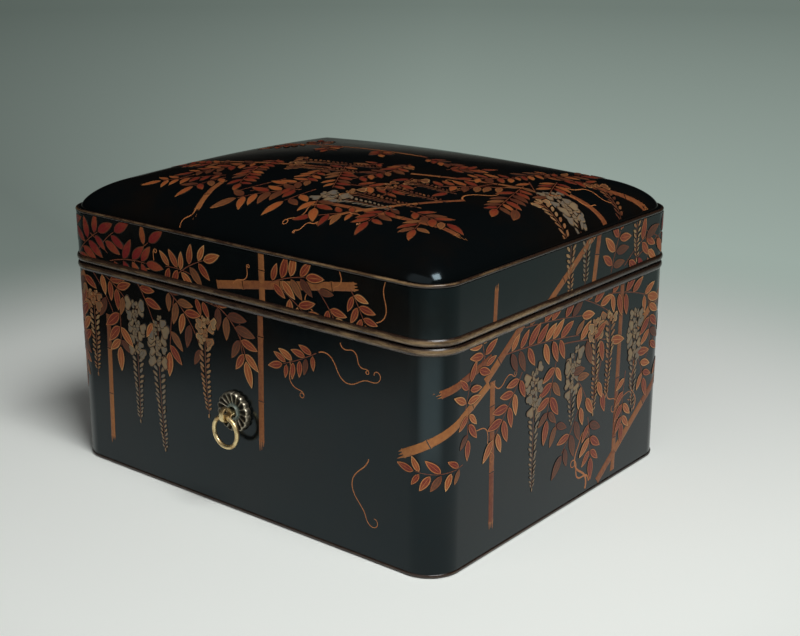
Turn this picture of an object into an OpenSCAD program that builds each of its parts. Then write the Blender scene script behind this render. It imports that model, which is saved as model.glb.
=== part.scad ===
// Lacquered cosmetic box with a crowned lift-off lid, an inner tray and two cord rings.
// Millimetres, +Z up. The origin is the middle of the underside, and the front faces -Y.

/* [Case] */
// Outside length of the box, along X
box_l = 303; // [240:1:360]
// Outside width of the box, along Y
box_w = 250; // [200:1:300]
// Height of the case's mouth, where the lid sits
mouth_z = 134; // [110:1:170]
// Outside radius of the upright corners
corner_r = 20; // [18:0.5:28]
// Thickness of the case's walls
wall_t = 7; // [6:0.5:9]
// Thickness of the floor board
floor_t = 6; // [4:0.5:9]
// Depth of the rebate in the walls that holds the floor board
floor_rebate = 3; // [2:0.5:4]
// Thickness of the lip that the lid slides down over
lip_t = 3; // [2:0.5:4]
// Height of the lip above the mouth
lip_rise = 9; // [6:0.5:14]
// Depth to which the lip is glued below the mouth
lip_drop = 30; // [18:1:45]

/* [Wall joints] */
// Thickness of the tongue on the end of each wall board
tongue_t = 2.2; // [1.5:0.1:3]
// Length of the tongue
tongue_l = 4; // [2:0.5:6]
// Distance that a tongue stops short of the board's edges
tongue_stop = 3; // [1:0.5:6]
// Glue clearance in the joints
glue_gap = 0.1; // [0.05:0.05:0.3]

/* [Mouldings] */
// Height of the half-round beads on both sides of the seam
bead_h = 4.6; // [3.5:0.1:6]
// Depth to which the beads are let into the walls
bead_in = 1.5; // [0.8:0.1:2.2]
// How far the case's bead stands out of the wall
case_bead_out = 1.1; // [0.6:0.1:1.6]
// How far the lid's bead stands out of the wall
lid_bead_out = 1.3; // [0.6:0.1:1.8]
// Open line that shows between the two beads
seam_gap = 0.6; // [0.3:0.1:1.2]
// Height of the bead around the foot
foot_bead_h = 2.2; // [1.5:0.1:4]
// How far the foot bead stands out of the wall
foot_bead_out = 0.6; // [0.3:0.1:0.9]
// Radius of the round bead along the lid's upper edge
ridge_r = 1.2; // [0.8:0.1:1.6]
// How far the ridge bead stands out of the wall
ridge_out = 0.3; // [0.1:0.1:0.7]
// How far the ridge bead stands above the ledge
ridge_rise = 1; // [0.5:0.1:1.4]

/* [Lid] */
// Height of the ridge bead's crest
ridge_z = 169; // [155:1:190]
// Clearance between the lid and the lip
lip_fit = 0.5; // [0.3:0.1:1]
// Width of the ledge between the lid's edge and its crown
ledge_w = 4; // [3:0.5:8]
// Width of the crown's round shoulder
shoulder_w = 33; // [24:1:45]
// Rise of the crown's round shoulder
shoulder_h = 16.8; // [12:0.2:22]
// Further rise from the shoulder to the middle of the crown
crown_rise = 12; // [6:0.5:18]
// Squareness of the crown's corners in plan, where 2 is a circle
plan_power = 3.2; // [2:0.1:4]
// Squareness of the shoulder in section, where 2 is an ellipse
section_power = 1.73; // [1.5:0.01:2.4]
// Thickness of the crown
crown_t = 6; // [4:0.5:8]
// Thickness of the flange around the crown, which lies on the lid's walls
flange_t = 7; // [5:0.5:10]

/* [Tray] */
// Depth of the tray below its rim
tray_h = 40; // [28:1:60]
// Thickness of the tray's walls
tray_t = 4; // [3:0.5:5]
// Thickness of the tray's floor
tray_floor_t = 3; // [2:0.5:5]
// Depth of the rebate that holds the tray's floor
tray_rebate = 2; // [1:0.5:2.5]
// Clearance between the tray and the lip
tray_fit = 0.8; // [0.4:0.1:1.5]
// Height of the rim that the tray hangs by
rim_h = 2.6; // [2:0.1:4]
// Crown of the rim's upper face
rim_crown = 0.8; // [0.3:0.1:1.2]

/* [Ring fittings] */
// Height of the fittings on the front and the rear
fitting_z = 65.5; // [45:0.5:90]
// Diameter of the chrysanthemum rosette
rosette_d = 26; // [22:0.5:32]
// Height of the rosette's petals
rosette_h = 3.6; // [3:0.1:4.5]
// Height of the rosette's middle, where the collar sits
rosette_seat = 2.2; // [1.5:0.1:2.8]
// Thickness of the rosette at the petals' tips
rosette_edge = 1; // [0.6:0.1:1.4]
// Number of petals
petals = 16; // [12:1:28]
// Depth of each petal's hollow below the ridges beside it
flute_d = 1.2; // [0.6:0.1:1.4]
// How far the petals' round tips reach past the ends of the ridges
scallop = 1; // [0.4:0.1:1.4]
// Diameter of the collar around the eye's stem
collar_d = 9.4; // [8.5:0.1:12]
// Height of the collar
collar_h = 1.5; // [1:0.1:2]
// Crown of the collar's face
collar_crown = 0.5; // [0.2:0.1:0.6]
// Distance from the wall to the eye's axis
eye_out = 9; // [8.5:0.1:13]
// Thickness of the strap that is bent to make the eye
strap_t = 1.3; // [0.9:0.1:1.6]
// Width of the strap
strap_w = 5.6; // [4:0.1:6.5]
// Open slit between the strap's two legs
leg_slit = 0.2; // [0.1:0.1:0.4]
// Length of the strap's tails, bent apart inside the case
tail_l = 5; // [4:0.5:9]
// Clearance of the stem in the hole through the wall
stem_fit = 0.25; // [0.15:0.05:0.5]
// Diameter of the plate under the tails
plate_d = 14; // [11:0.5:20]
// Thickness of the plate under the tails
plate_t = 1; // [0.6:0.1:1.5]
// Outside diameter of the ring
ring_d = 22; // [20:0.5:30]
// Diameter of the ring's wire
wire_d = 2.8; // [2:0.1:3.2]
// Room in the eye around the ring's wire
eye_fit = 0.65; // [0.6:0.05:1]
// How much taller than deep the eye is
eye_tall = 2.6; // [2:0.1:4]
// How far the ring's wire hangs below the middle of the eye
ring_drop = 1.2; // [0.6:0.1:1.3]

/* [Hidden] */
$fn = 64;

// The four sides and corners are counted from the right, against the clock seen from above.
RIGHT = 0;
REAR = 1;
LEFT = 2;
FRONT = 3;
half_l = box_l / 2;
half_w = box_w / 2;

// Heights
lip_top = mouth_z + lip_rise;
bead_top = mouth_z + seam_gap + bead_h;
ledge_z = ridge_z - ridge_rise;
flange_z = ledge_z - flange_t;
ridge_seat_z = ridge_z - 2 * ridge_r;
tray_z = lip_top - tray_h;

// Distances in from the outside of the box
lid_wall_t = wall_t - lip_fit;
ridge_in = 2 * ridge_r - ridge_out;
tray_in = wall_t + lip_t + tray_fit;
rim_w = tray_in + tray_t - wall_t;

// Crown of the lid, and the hollow under it
crown_x = half_l - ledge_w;
crown_y = half_w - ledge_w;
hollow_x = half_l - lid_wall_t;
hollow_y = half_w - lid_wall_t;
hollow_h = ledge_z + shoulder_h - crown_t - flange_z;
crown_steps = [0.985, 0.94, 0.86, 0.75, 0.6, 0.42, 0.22, 0.08];
crown_scales = [0.72, 0.46, 0.2];
hollow_steps = [0.96, 0.86, 0.7, 0.45, 0.12];
hollow_scales = [0.66, 0.3];
side_steps = 8;
corner_steps = 7;

// Ring fitting
wire_r = wire_d / 2;
ring_r = ring_d / 2 - wire_r;
eye_r = wire_r + eye_fit;
stem_h = 2 * strap_t + leg_slit;
stem_r = norm([strap_w / 2, stem_h / 2]);
bore_r = stem_r + stem_fit;
tail_y = wall_t + plate_t;
petal_rows = [0.18, 0.42, 0.66, 0.84, 0.95, 1];
petal_crest = 0.84;
petal_lip = 0.92;
petal_steps = 6;

lacquer = "#1b1c1c";
bead_lacquer = "#5a4326";
inner_lacquer = "#4a2c1c";
brass = "#b08a45";
bronze = "#3c3a30";

// Frames of the sides and corners

function side_half(k) = k % 2 == 0 ? half_l : half_w;
function side_run(k) = (k % 2 == 0 ? box_w : box_l) - 2 * corner_r;

// A straight length of a 2-D section on side k, where x = 0 is the outside of the box
module side_bar(k, shorter = 0) {
  run = side_run(k) - 2 * shorter;
  rotate([0, 0, 90 * k])
    translate([side_half(k), run / 2, 0])
      rotate([90, 0, 0])
        linear_extrude(run) children();
}

// Puts its children at the centre of the corner that follows side k
module at_corner(k) {
  rotate([0, 0, 90 * k])
    translate([side_half(k) - corner_r, side_half(k + 1) - corner_r, 0]) children();
}

// The same section turned around the corner that follows side k
module corner_bar(k) {
  at_corner(k) rotate_extrude(angle = 90) translate([corner_r, 0]) children();
}

// An unbroken strip of one section around the box
module strip_around() {
  for (k = [RIGHT : FRONT]) {
    side_bar(k) children();
    corner_bar(k) children();
  }
}

// Four straight strips and four corner strips that butt with a glue gap
module strips_around() {
  for (k = [RIGHT : FRONT]) {
    side_bar(k, glue_gap) children();
    corner_bar(k) children();
  }
}

// A board with the box's plan, at a distance in from its outside
module plan_board(inset, z, h) {
  r = corner_r - inset;
  translate([0, 0, z])
    linear_extrude(h) {
      square([box_l - 2 * inset, box_w - 2 * corner_r], center = true);
      square([box_l - 2 * corner_r, box_w - 2 * inset], center = true);
      for (x = [-1, 1], y = [-1, 1])
        translate([x * (half_l - corner_r), y * (half_w - corner_r)]) circle(r);
    }
}

// Tongues on both ends of a wall board, and the grooves for them in a post

module tongues(k, t, z0, z1) {
  x = side_half(k) - t / 2 - tongue_t / 2;
  rotate([0, 0, 90 * k])
    translate([x, -side_run(k) / 2 - tongue_l, z0 + tongue_stop])
      cube([tongue_t, side_run(k) + 2 * tongue_l, z1 - z0 - 2 * tongue_stop]);
}

module grooves(k, t, z0, z1) {
  wide = tongue_t + 2 * glue_gap;
  deep = tongue_l + glue_gap;
  x = corner_r - t / 2 - wide / 2;
  tall = z1 - z0 - 2 * tongue_stop + 2 * glue_gap;
  at_corner(k)
    translate([0, 0, z0 + tongue_stop - glue_gap]) {
      translate([x, -deep, 0]) cube([wide, 2 * deep, tall]);
      translate([-deep, x, 0]) cube([2 * deep, wide, tall]);
    }
}

// Sections, with x = 0 on the outside of the box and y up

module half_round(h, out, in) {
  r = (h * h / 4 + out * out) / (2 * out);
  intersection() {
    translate([-in, 0]) square([in + out, h]);
    union() {
      translate([-in, 0]) square([in, h]);
      translate([out - r, h / 2]) circle(r);
    }
  }
}

module crowned_strip(w, h, crown) {
  r = (w * w / 4 + crown * crown) / (2 * crown);
  intersection() {
    square([w, h]);
    translate([w / 2, h - r]) circle(r);
  }
}

module case_wall_section() {
  floor_x = floor_rebate - wall_t;
  polygon([
    [floor_x, 0], [-bead_in, 0], [-bead_in, foot_bead_h], [0, foot_bead_h],
    [0, mouth_z - bead_h], [-bead_in, mouth_z - bead_h], [-bead_in, mouth_z],
    [-wall_t, mouth_z], [-wall_t, floor_t], [floor_x, floor_t]
  ]);
}

module lid_wall_section() {
  polygon([
    [-lid_wall_t, mouth_z], [-bead_in, mouth_z], [-bead_in, bead_top], [0, bead_top],
    [0, flange_z], [-lid_wall_t, flange_z]
  ]);
}

module tray_wall_section() {
  floor_x = tray_rebate - tray_t;
  translate([-tray_in, 0])
    polygon([
      [floor_x, tray_z], [0, tray_z], [0, lip_top], [-tray_t, lip_top],
      [-tray_t, tray_z + tray_floor_t], [floor_x, tray_z + tray_floor_t]
    ]);
}

module ridge_section() {
  x = ridge_out - ridge_r;
  translate([-ridge_in, ridge_seat_z]) square([ridge_in, ridge_r]);
  translate([x, ridge_z - ridge_r]) circle(ridge_r);
}

// Case

module case_board(k) {
  side_bar(k) case_wall_section();
  tongues(k, wall_t, floor_t, mouth_z - bead_h);
}

module fitting_bore() {
  translate([0, -half_w, fitting_z])
    rotate([90, 0, 0]) cylinder(h = 3 * wall_t, r = bore_r, center = true);
}

module bored_board(k, turn) {
  difference() {
    case_board(k);
    rotate([0, 0, turn]) fitting_bore();
  }
}

module case_front_wall() { color(lacquer) bored_board(FRONT, 0); }

module case_rear_wall() { color(lacquer) bored_board(REAR, 180); }

module case_left_wall() { color(lacquer) case_board(LEFT); }

module case_right_wall() { color(lacquer) case_board(RIGHT); }

module case_corner_posts() {
  color(lacquer)
    for (k = [RIGHT : FRONT])
      difference() {
        corner_bar(k) case_wall_section();
        grooves(k, wall_t, floor_t, mouth_z - bead_h);
      }
}

module case_floor() {
  color(lacquer) plan_board(wall_t - floor_rebate + glue_gap, 0, floor_t);
}

module case_foot_bead() {
  color(bead_lacquer) strip_around() half_round(foot_bead_h, foot_bead_out, bead_in);
}

module case_mouth_bead() {
  color(bead_lacquer)
    translate([0, 0, mouth_z - bead_h])
      strip_around() half_round(bead_h, case_bead_out, bead_in);
}

module case_mouth_lip() {
  color(inner_lacquer)
    strips_around()
      translate([-wall_t - lip_t, mouth_z - lip_drop]) square([lip_t, lip_rise + lip_drop]);
}

// Lid

module lid_board(k) {
  side_bar(k) lid_wall_section();
  tongues(k, lid_wall_t, bead_top, flange_z);
}

module lid_front_wall() { color(lacquer) lid_board(FRONT); }

module lid_rear_wall() { color(lacquer) lid_board(REAR); }

module lid_left_wall() { color(lacquer) lid_board(LEFT); }

module lid_right_wall() { color(lacquer) lid_board(RIGHT); }

module lid_corner_posts() {
  color(lacquer)
    for (k = [RIGHT : FRONT])
      difference() {
        corner_bar(k) lid_wall_section();
        grooves(k, lid_wall_t, bead_top, flange_z);
      }
}

module lid_ridge_bead() { color(bead_lacquer) strip_around() ridge_section(); }

module lid_mouth_bead() {
  color(bead_lacquer)
    translate([0, 0, mouth_z + seam_gap])
      strip_around() half_round(bead_h, lid_bead_out, bead_in);
}

// A quarter turn of a point, k times
function turned(p, k) = k == 0 ? p : turned([-p[1], p[0]], k - 1);

// Plan outline with half sizes x and y, and corners of size e whose curve has the given power
function plan_outline(x, y, e, power) = [
  for (k = [RIGHT : FRONT])
    let (a = k % 2 == 0 ? x : y, b = k % 2 == 0 ? y : x)
      each concat(
        [for (i = [0 : side_steps - 1]) turned([a, (b - e) * (2 * i / side_steps - 1)], k)],
        [
          for (i = [0 : corner_steps - 1])
            let (t = 90 * i / corner_steps)
              turned([a - e + e * pow(cos(t), 2 / power), b - e + e * pow(sin(t), 2 / power)], k)
        ]
      )
];

// Height of a crown over its base, for half sizes x and y
function shoulder(d) = max(0, 1 - d / shoulder_w);
function crown_edge(p, x, y) =
  min(1, pow(pow(shoulder(x - abs(p[0])), plan_power) + pow(shoulder(y - abs(p[1])), plan_power),
             1 / plan_power));
function crown_height(p, x, y, rise) =
  rise * pow(1 - pow(crown_edge(p, x, y), section_power), 1 / section_power)
  + crown_rise * (1 - pow(p[0] / x, 2)) * (1 - pow(p[1] / y, 2));

// One contour of a crown: t falls from 1 at the edge to 0 inside the shoulder
function crown_ring(x, y, rise, base, t, scale = 1) = [
  for (p = scale * plan_outline(x - shoulder_w * (1 - t), y - shoulder_w * (1 - t),
                                shoulder_w * t, plan_power))
    [p[0], p[1], base + crown_height(p, x, y, rise)]
];
function flat_ring(outline, z) = [for (p = outline) [p[0], p[1], z]];
function edge_ring(inset, z) =
  flat_ring(plan_outline(half_l - inset, half_w - inset, corner_r - inset, 2), z);
function backwards(list) = [for (i = [len(list) - 1 : -1 : 0]) list[i]];

// Faces that join ring to ring, with a point that closes each end
function ring_faces(rings, n) = [
  for (i = [0 : rings - 2], j = [0 : n - 1])
    let (a = i * n + j, b = i * n + (j + 1) % n)
      each [[a, a + n, b], [b, a + n, b + n]]
];
function cap_faces(first, point, n, up) = [
  for (j = [0 : n - 1])
    let (a = first + j, b = first + (j + 1) % n)
      up ? [a, point, b] : [b, point, a]
];

module lid_crown() {
  inner_t = hollow_steps[len(hollow_steps) - 1];
  outer_t = crown_steps[len(crown_steps) - 1];
  rings = concat(
    [for (s = backwards(hollow_scales)) crown_ring(hollow_x, hollow_y, hollow_h, flange_z, inner_t, s)],
    [for (t = backwards(hollow_steps)) crown_ring(hollow_x, hollow_y, hollow_h, flange_z, t)],
    [
      flat_ring(plan_outline(hollow_x, hollow_y, shoulder_w, plan_power), flange_z),
      edge_ring(0, flange_z),
      edge_ring(0, ridge_seat_z),
      edge_ring(ridge_in, ridge_seat_z),
      edge_ring(ridge_in, ledge_z),
      flat_ring(plan_outline(crown_x, crown_y, shoulder_w, plan_power), ledge_z)
    ],
    [for (t = crown_steps) crown_ring(crown_x, crown_y, shoulder_h, ledge_z, t)],
    [for (s = crown_scales) crown_ring(crown_x, crown_y, shoulder_h, ledge_z, outer_t, s)]
  );
  n = len(rings[0]);
  bottom = len(rings) * n;
  points = concat(
    [for (r = rings) each r],
    [[0, 0, flange_z + hollow_h + crown_rise], [0, 0, ledge_z + shoulder_h + crown_rise]]
  );
  faces = concat(
    ring_faces(len(rings), n),
    cap_faces(0, bottom, n, false),
    cap_faces(bottom - n, bottom + 1, n, true)
  );
  color(lacquer) polyhedron(points, faces, convexity = 6);
}

// Tray

module tray_floor() {
  color(inner_lacquer) plan_board(tray_in + tray_t - tray_rebate + glue_gap, tray_z, tray_floor_t);
}

module tray_front_wall() { color(inner_lacquer) side_bar(FRONT) tray_wall_section(); }

module tray_rear_wall() { color(inner_lacquer) side_bar(REAR) tray_wall_section(); }

module tray_left_wall() { color(inner_lacquer) side_bar(LEFT) tray_wall_section(); }

module tray_right_wall() { color(inner_lacquer) side_bar(RIGHT) tray_wall_section(); }

module tray_corner_pieces() {
  color(inner_lacquer)
    for (k = [RIGHT : FRONT])
      corner_bar(k) tray_wall_section();
}

module tray_rim() {
  color(bead_lacquer)
    strips_around()
      translate([-wall_t - rim_w, lip_top]) crowned_strip(rim_w, rim_h, rim_crown);
}

// Ring fittings, made on the front and turned for the rear

module on_front() { translate([0, -half_w, fitting_z]) rotate([90, 0, 0]) children(); }

// Height of the ridges between petals, from the collar at w = 0 to the tip at w = 1
function petal_line(w) =
  w < petal_crest
    ? rosette_seat + (rosette_h - rosette_seat) * sin(90 * w / petal_crest)
    : rosette_edge + (rosette_h - rosette_edge) * sqrt(1 - pow((w - petal_crest) / (1 - petal_crest), 2));
// Distance of an angle from the middle of its petal, from -1 to 1
function petal_side(a) = 2 * (a * petals / 360 - floor(a * petals / 360)) - 1;
function petal_point(a, w) =
  let (
    s = petal_side(a),
    tip = rosette_d / 2 - scallop * s * s,
    r = collar_d / 2 + w * (tip - collar_d / 2),
    hollow = flute_d * sin(180 * min(1, w / petal_lip)) * (1 - s * s)
  )
  [r * cos(a), r * sin(a), max(rosette_edge, petal_line(w) - hollow)];

module rosette() {
  n = petals * petal_steps;
  angles = [for (i = [0 : n - 1]) 360 * i / n];
  round_ring = function(r, z) [for (a = angles) [r * cos(a), r * sin(a), z]];
  rows = concat(
    [
      round_ring(bore_r, 0),
      [for (a = angles) let (p = petal_point(a, 1)) [p[0], p[1], 0]]
    ],
    [for (w = backwards(petal_rows)) [for (a = angles) petal_point(a, w)]],
    [
      round_ring(collar_d / 2, rosette_seat),
      round_ring(bore_r, rosette_seat),
      round_ring(bore_r, 0)
    ]
  );
  total = (len(rows) - 1) * n;
  faces = [for (f = ring_faces(len(rows), n)) [for (i = f) i % total]];
  points = [for (i = [0 : len(rows) - 2]) each rows[i]];
  color(bronze) on_front() polyhedron(points, faces, convexity = 6);
}

module collar() {
  color(bronze)
    on_front()
      translate([0, 0, rosette_seat])
        rotate_extrude()
          translate([bore_r, 0]) crowned_strip(collar_d / 2 - bore_r, collar_h, collar_crown);
}

// An upright oval with round ends, across the eye's axis
module eye_oval(r, w) {
  translate([0, 0, eye_out]) {
    for (side = [-1, 1])
      translate([0, side * eye_tall / 2, 0]) rotate([0, 90, 0]) cylinder(h = w, r = r, center = true);
    cube([w, eye_tall, 2 * r], center = true);
  }
}

// A strap bent round into an eye, whose two legs pass through the wall and are bent apart inside
module eye() {
  stem_l = eye_out + tail_y + strap_t;
  color(brass)
    on_front()
      difference() {
        union() {
          eye_oval(eye_r + strap_t, strap_w);
          translate([-strap_w / 2, -stem_h / 2, -tail_y - strap_t]) cube([strap_w, stem_h, stem_l]);
          translate([-strap_w / 2, -tail_l, -tail_y - strap_t]) cube([strap_w, 2 * tail_l, strap_t]);
        }
        eye_oval(eye_r, 2 * strap_w);
        translate([-strap_w, -leg_slit / 2, -tail_y - 2 * strap_t])
          cube([2 * strap_w, leg_slit, stem_l + strap_t]);
      }
}

module clinch_plate() {
  color(bronze)
    on_front()
      translate([0, 0, -tail_y])
        difference() {
          cylinder(h = plate_t, r = plate_d / 2);
          translate([0, 0, -plate_t]) cylinder(h = 3 * plate_t, r = bore_r);
        }
}

module ring() {
  color(brass)
    on_front()
      translate([0, -ring_drop - ring_r, eye_out])
        rotate_extrude() translate([ring_r, 0]) circle(wire_r);
}

module front_rosette() { rosette(); }

module front_collar() { collar(); }

module front_eye() { eye(); }

module front_clinch_plate() { clinch_plate(); }

module front_ring() { ring(); }

module rear_rosette() { rotate([0, 0, 180]) rosette(); }

module rear_collar() { rotate([0, 0, 180]) collar(); }

module rear_eye() { rotate([0, 0, 180]) eye(); }

module rear_clinch_plate() { rotate([0, 0, 180]) clinch_plate(); }

module rear_ring() { rotate([0, 0, 180]) ring(); }

case_front_wall();
case_rear_wall();
case_left_wall();
case_right_wall();
case_corner_posts();
case_floor();
case_foot_bead();
case_mouth_bead();
case_mouth_lip();
front_rosette();
front_collar();
front_eye();
front_clinch_plate();
front_ring();
rear_rosette();
rear_collar();
rear_eye();
rear_clinch_plate();
rear_ring();
lid_front_wall();
lid_rear_wall();
lid_left_wall();
lid_right_wall();
lid_corner_posts();
lid_crown();
lid_ridge_bead();
lid_mouth_bead();
tray_floor();
tray_front_wall();
tray_rear_wall();
tray_left_wall();
tray_right_wall();
tray_corner_pieces();
tray_rim();
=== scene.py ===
"""A lacquered cosmetic box: its finishes, raised sprays and ring fittings, built around its solids.

Sizes are in millimetres until a piece is made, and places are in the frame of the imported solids.
"""

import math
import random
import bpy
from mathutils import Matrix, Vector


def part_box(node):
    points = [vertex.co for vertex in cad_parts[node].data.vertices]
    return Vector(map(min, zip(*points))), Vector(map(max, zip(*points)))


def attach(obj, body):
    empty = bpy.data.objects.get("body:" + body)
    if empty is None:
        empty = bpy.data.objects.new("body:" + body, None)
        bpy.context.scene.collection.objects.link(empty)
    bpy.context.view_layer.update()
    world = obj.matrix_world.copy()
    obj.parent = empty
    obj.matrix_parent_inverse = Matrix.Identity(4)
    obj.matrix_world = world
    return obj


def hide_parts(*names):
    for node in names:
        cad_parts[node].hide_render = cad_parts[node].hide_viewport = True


bl_info = {
    "name": "Lacquered Cosmetic Box",
    "version": (1, 0, 0),
    "blender": (4, 5, 0),
    "location": "View3D > Sidebar > Cosmetic Box",
    "description": "Builds the finishes, sprays and fittings of a lacquered cosmetic box",
    "category": "Object",
}

import bmesh
import bpy
from bpy.props import FloatProperty, FloatVectorProperty, IntProperty, PointerProperty
from mathutils import Vector

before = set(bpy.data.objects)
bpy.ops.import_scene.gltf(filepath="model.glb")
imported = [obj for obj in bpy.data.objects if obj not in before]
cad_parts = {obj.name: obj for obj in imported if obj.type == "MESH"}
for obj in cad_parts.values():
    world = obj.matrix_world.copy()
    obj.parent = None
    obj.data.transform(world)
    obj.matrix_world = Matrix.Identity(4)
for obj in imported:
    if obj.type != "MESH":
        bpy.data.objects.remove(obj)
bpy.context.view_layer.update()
MM = 0.001


def solid(node):
    """Lowest and highest corner of a solid, in millimetres."""
    low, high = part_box(node)
    return low / MM, high / MM


# Sizes that the solids give
HALF_L, HALF_W, MOUTH_Z = solid("case_corner_posts")[1]
WALL_T = HALF_W + solid("case_front_wall")[1].y
CORNER_R = HALF_L - solid("tray_front_wall")[1].x
FLOOR_T = solid("case_floor")[1].z
FLOOR_IN = HALF_L - solid("case_floor")[1].x
LIP_Z0 = solid("case_mouth_lip")[0].z
LIP_Z1 = solid("case_mouth_lip")[1].z
FOOT_OUT = solid("case_foot_bead")[1].x - HALF_L
FOOT_H = solid("case_foot_bead")[1].z
CASE_BEAD_OUT = solid("case_mouth_bead")[1].x - HALF_L
CASE_BEAD_Z = solid("case_mouth_bead")[0].z
LID_BEAD_OUT = solid("lid_mouth_bead")[1].x - HALF_L
LID_BEAD_Z0 = solid("lid_mouth_bead")[0].z
LID_BEAD_Z1 = solid("lid_mouth_bead")[1].z
LID_WALL_T = HALF_W + solid("lid_front_wall")[1].y
FLANGE_Z = solid("lid_crown")[0].z
CROWN_TOP = solid("lid_crown")[1].z
RIDGE_OUT = solid("lid_ridge_bead")[1].x - HALF_L
RIDGE_Z0 = solid("lid_ridge_bead")[0].z
RIDGE_R = (solid("lid_ridge_bead")[1].z - RIDGE_Z0) / 2
RIDGE_IN = 2 * RIDGE_R - RIDGE_OUT
TRAY_IN = HALF_W - solid("tray_rear_wall")[1].y
TRAY_T = solid("tray_front_wall")[1].y - solid("tray_front_wall")[0].y
TRAY_Z = solid("tray_floor")[0].z
TRAY_FLOOR_T = solid("tray_floor")[1].z - TRAY_Z
RIM_Z1 = solid("tray_rim")[1].z
ROSETTE_R = solid("front_rosette")[1].x
ROSETTE_H = -HALF_W - solid("front_rosette")[0].y
FITTING_Z = (solid("front_rosette")[0].z + solid("front_rosette")[1].z) / 2
COLLAR_R = solid("front_collar")[1].x
COLLAR_TOP = -HALF_W - solid("front_collar")[0].y
STRAP_W = 2 * solid("front_eye")[1].x
RING_OUT = -HALF_W - (solid("front_ring")[0].y + solid("front_ring")[1].y) / 2
WIRE_R = (solid("front_ring")[1].y - solid("front_ring")[0].y) / 2
RING_R = solid("front_ring")[1].x - WIRE_R
RING_DROP = FITTING_Z + WIRE_R - solid("front_ring")[1].z
EYE_R = -HALF_W - solid("front_eye")[0].y - RING_OUT
TAIL_Y = solid("front_eye")[1].y + HALF_W
TAIL_L = solid("front_eye")[1].z - FITTING_Z

# Fineness of the meshes, and the angle in degrees above which an edge is sharp
SIDE_STEPS = 12
CORNER_STEPS = 32
BEAD_STEPS = 12
SHOULDER_STEPS = 26
CREASE = 38


def linear(hex_code):
    """An sRGB hex colour as linear red, green and blue."""
    parts = [int(hex_code[i:i + 2], 16) / 255 for i in (1, 3, 5)]
    return tuple(c / 12.92 if c <= 0.04045 else ((c + 0.055) / 1.055) ** 2.4 for c in parts)


def length(name, description, size):
    """A length that a user may change, given in millimetres."""
    return FloatProperty(name=name, description=description, default=size * MM, min=0.0,
                         precision=4, unit="LENGTH")


def colour(name, description, hex_code):
    """A colour that a user may change."""
    return FloatVectorProperty(name=name, description=description, default=linear(hex_code),
                               size=3, min=0.0, max=1.0, subtype="COLOR")


class BoxForm(bpy.types.PropertyGroup):
    """Forms that the solids' boxes don't give."""

    bead_in: length("Bead depth", "Depth to which the beads are let into the walls", 1.5)
    lip_t: length("Lip thickness", "Thickness of the lip under the lid", 3)
    floor_rebate: length("Floor rebate", "Depth of the rebate that holds the floor", 3)
    ledge_w: length("Ledge width", "Width of the ledge around the lid's crown", 3)
    shoulder_w: length("Shoulder width", "Width of the crown's round shoulder", 33)
    shoulder_h: length("Shoulder rise", "Rise of the crown's round shoulder", 16.8)
    crown_rise: length("Crown rise", "Rise from the shoulder to the crown's middle", 12)
    crown_t: length("Crown thickness", "Thickness of the lid's crown", 6)
    plan_power: FloatProperty(
        name="Corner squareness", description="Squareness of the crown's corners in plan",
        default=4.2, min=2.0, max=5.0)
    section_power: FloatProperty(
        name="Shoulder squareness", description="Squareness of the shoulder in section",
        default=1.73, min=1.5, max=2.4)
    rim_crown: length("Rim crown", "Crown of the tray rim's upper face", 0.8)


class FittingForm(bpy.types.PropertyGroup):
    """Forms of the rosettes, eyes and rings."""

    petals: IntProperty(name="Petals", description="Number of petals in a rosette",
                        default=16, min=12, max=28)
    seat: length("Seat", "Height of the rosette's middle", 2.2)
    edge: length("Edge", "Thickness of the rosette at its petals' tips", 1)
    flute: length("Hollow", "Depth of each petal's hollow", 1.2)
    scallop: length("Scallop", "Reach of the petals' round tips", 1)
    bore: length("Bore", "Radius of the hole through rosette and collar", 3.38)
    collar_crown: length("Collar crown", "Crown of the collar's face", 0.5)
    strap_t: length("Strap thickness", "Thickness of the strap that makes the eye", 1.3)
    leg_slit: length("Leg slit", "Open slit between the strap's legs", 0.2)
    eye_tall: length("Eye height", "How much taller than deep the eye is", 2.6)


class SprayForm(bpy.types.PropertyGroup):
    """Sizes of the raised sprays."""

    leaf_l: length("Leaflet length", "Length of a full leaflet", 16.5)
    leaf_w: length("Leaflet width", "Width of a full leaflet", 6.3)
    line_w: length("Line width", "Width of the gold line around a leaflet", 0.55)
    pole_w: length("Pole width", "Width of a bamboo pole", 5.0)
    bud_l: length("Bud length", "Length of the largest buds", 5.9)
    petal_l: length("Petal length", "Length of an open flower's petals", 6.6)
    raised: length("Raised height", "Height of the raised work above the lacquer", 0.1)
    layer: length("Layer", "Step in height between overlapping elements", 0.035)
    seed: IntProperty(name="Seed", description="Seed of the sprays' small differences",
                      default=11, min=0)


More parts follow.
